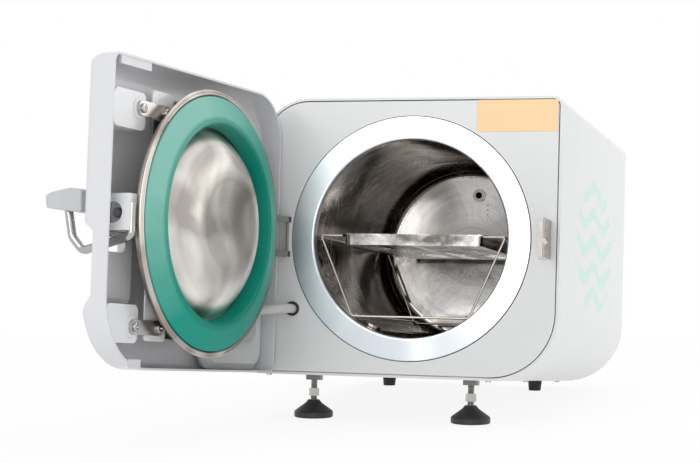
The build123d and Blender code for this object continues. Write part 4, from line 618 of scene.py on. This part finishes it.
def add_conduit():
    """Smooth grey conduit from inside the cabinet, straight out through the grommet, then along a
    cubic curve over to the door. The curve's first and last control points are the grommet's mouth
    and the hole in the door's duct cover."""
    hole_x, hole_z = -0.1515, -0.0916
    sleeve_radius = 0.0059
    inside_y = 0.038
    mouth_y = -0.006
    door_end = (hole_x - 0.044, -0.0458, hole_z - 0.006)
    straight = np.linspace((hole_x, inside_y, hole_z), (hole_x, mouth_y, hole_z), 8)
    over = bezier((hole_x, -0.008, hole_z), (hole_x, -0.030, hole_z),
                  (hole_x - 0.020, -0.043, hole_z - 0.004), door_end, 28)
    path = np.concatenate((straight[1:], over[:-1]))
    sleeve = placed(closed_tube(path, sleeve_radius))
    piece = add_surface("conduit_sleeve", sleeve, None, conduit_grey, closed=True, smooth=True)
    tidy_mesh(piece)
    start, end = placed(np.array(((hole_x, -0.004, hole_z), door_end)))
    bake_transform(piece)
    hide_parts("door_conduit")


def add_name_plate():
    """Blank peach plate at the panel's upper right."""
    add_plate("blank_plate", "cabinet", peach_plate, low=(0.0825, 0.134), high=(0.1845, 0.174),
              round_radius=0.002, front_y=-0.0006, thickness=0.0005)


def add_door_duct():
    """Low duct cover inside the door's lower hinge corner, where the conduit ends."""
    add_plate("door_duct", "door", duct_grey, low=(-0.190, -0.171), high=(-0.050, -0.085),
              round_radius=0.018, front_y=-0.0650, thickness=0.0200, frame_matrix=on_open_door)


add_conduit()
add_name_plate()
add_door_duct()


# Stage: pale floor under even surroundings, both white to the camera and in reflections

def stage_finish():
    """Pale paper, shown plain white to the camera except where the object shades it; the white
    grows full with the distance from the object."""
    near_white = 0.88
    near_reach = 0.7
    finish = Finish("stage_paper", roughness=0.9)
    point = finish.here()
    across, depth, _ = finish.axes(point)
    grain = finish.noise(point, 60.0, 2.0)
    finish.set("Base Color", finish.blend(grain, (0.92, 0.92, 0.92), (0.94, 0.94, 0.94)))
    far = across.away(depth).past(near_reach, 1.2)
    rays = finish.add("ShaderNodeLightPath").socket.node.outputs
    camera, glossy, through = (Level(finish, rays[f"Is {kind} Ray"])
                               for kind in ("Camera", "Glossy", "Transmission"))
    seen = camera.math("MAXIMUM", glossy).math("MAXIMUM", through)
    glow = finish.add("ShaderNodeEmission", {}, {"Color": (1, 1, 1, 1), "Strength": 1.0})
    paper = Level(finish, finish.shader.outputs[0])
    mixed = finish.add("ShaderNodeMixShader", {}, {
        0: seen * (far * (1 - near_white) + near_white), 1: paper, 2: glow})
    finish.fill(finish.tree.nodes["Material Output"].inputs["Surface"], mixed)
    return finish


def add_stage():
    """Flat floor: a grid of two by two points, far wider than the view."""
    reach = 14.0
    floor_z = -0.0005
    line = np.array((-reach, reach))
    points = np.empty((2, 2, 3))
    points[..., 0] = line[:, None]
    points[..., 1] = line[None, :]
    points[..., 2] = floor_z
    floor = add_surface("stage_floor", points, "cabinet", stage_finish())


def add_world():
    """Even pale surroundings, white to the camera, in reflections and through clear pieces."""
    lighting, seen_white = 0.55, 1.0
    world = bpy.data.worlds.new("studio")
    bpy.context.scene.world = world
    world.use_nodes = True
    nodes, links = world.node_tree.nodes, world.node_tree.links
    background = nodes["Background"]
    path = nodes.new("ShaderNodeLightPath")
    seen, through = nodes.new("ShaderNodeMath"), nodes.new("ShaderNodeMath")
    seen.operation = through.operation = "MAXIMUM"
    links.new(path.outputs["Is Glossy Ray"], through.inputs[0])
    links.new(path.outputs["Is Transmission Ray"], through.inputs[1])
    links.new(path.outputs["Is Camera Ray"], seen.inputs[0])
    links.new(through.outputs[0], seen.inputs[1])
    strength = nodes.new("ShaderNodeMapRange")
    strength.inputs["To Min"].default_value = lighting
    strength.inputs["To Max"].default_value = seen_white
    links.new(seen.outputs[0], strength.inputs["Value"])
    links.new(strength.outputs[0], background.inputs["Strength"])
    background.inputs["Color"].default_value = (1, 1, 1, 1)


def add_lamp(name, place, aim, side, power):
    """Square soft lamp at its place, turned towards its aim."""
    light = bpy.data.lights.new(name, "AREA")
    light.shape = "RECTANGLE"
    light.size = light.size_y = side
    light.energy = power
    lamp = bpy.data.objects.new(name, light)
    bpy.context.scene.collection.objects.link(lamp)
    lamp.location = place
    lamp.rotation_euler = (Vector(aim) - Vector(place)).to_track_quat("-Z", "Y").to_euler()


add_stage()
add_world()
add_lamp("key", place=(-0.8, -2.9, 1.7), aim=(0, 0, 0.2), side=1.6, power=25)
add_lamp("low", place=(0.5, -3.0, 0.5), aim=(-0.05, 0, 0.15), side=1.0, power=9)
add_lamp("side", place=(2.4, 1.3, 0.9), aim=(0.2, 0.3, 0.2), side=1.2, power=19)
add_lamp("top", place=(0.2, 0.4, 2.6), aim=(0, 0.1, 0.2), side=2.2, power=26)

bpy.context.scene.view_settings.view_transform = "Standard"
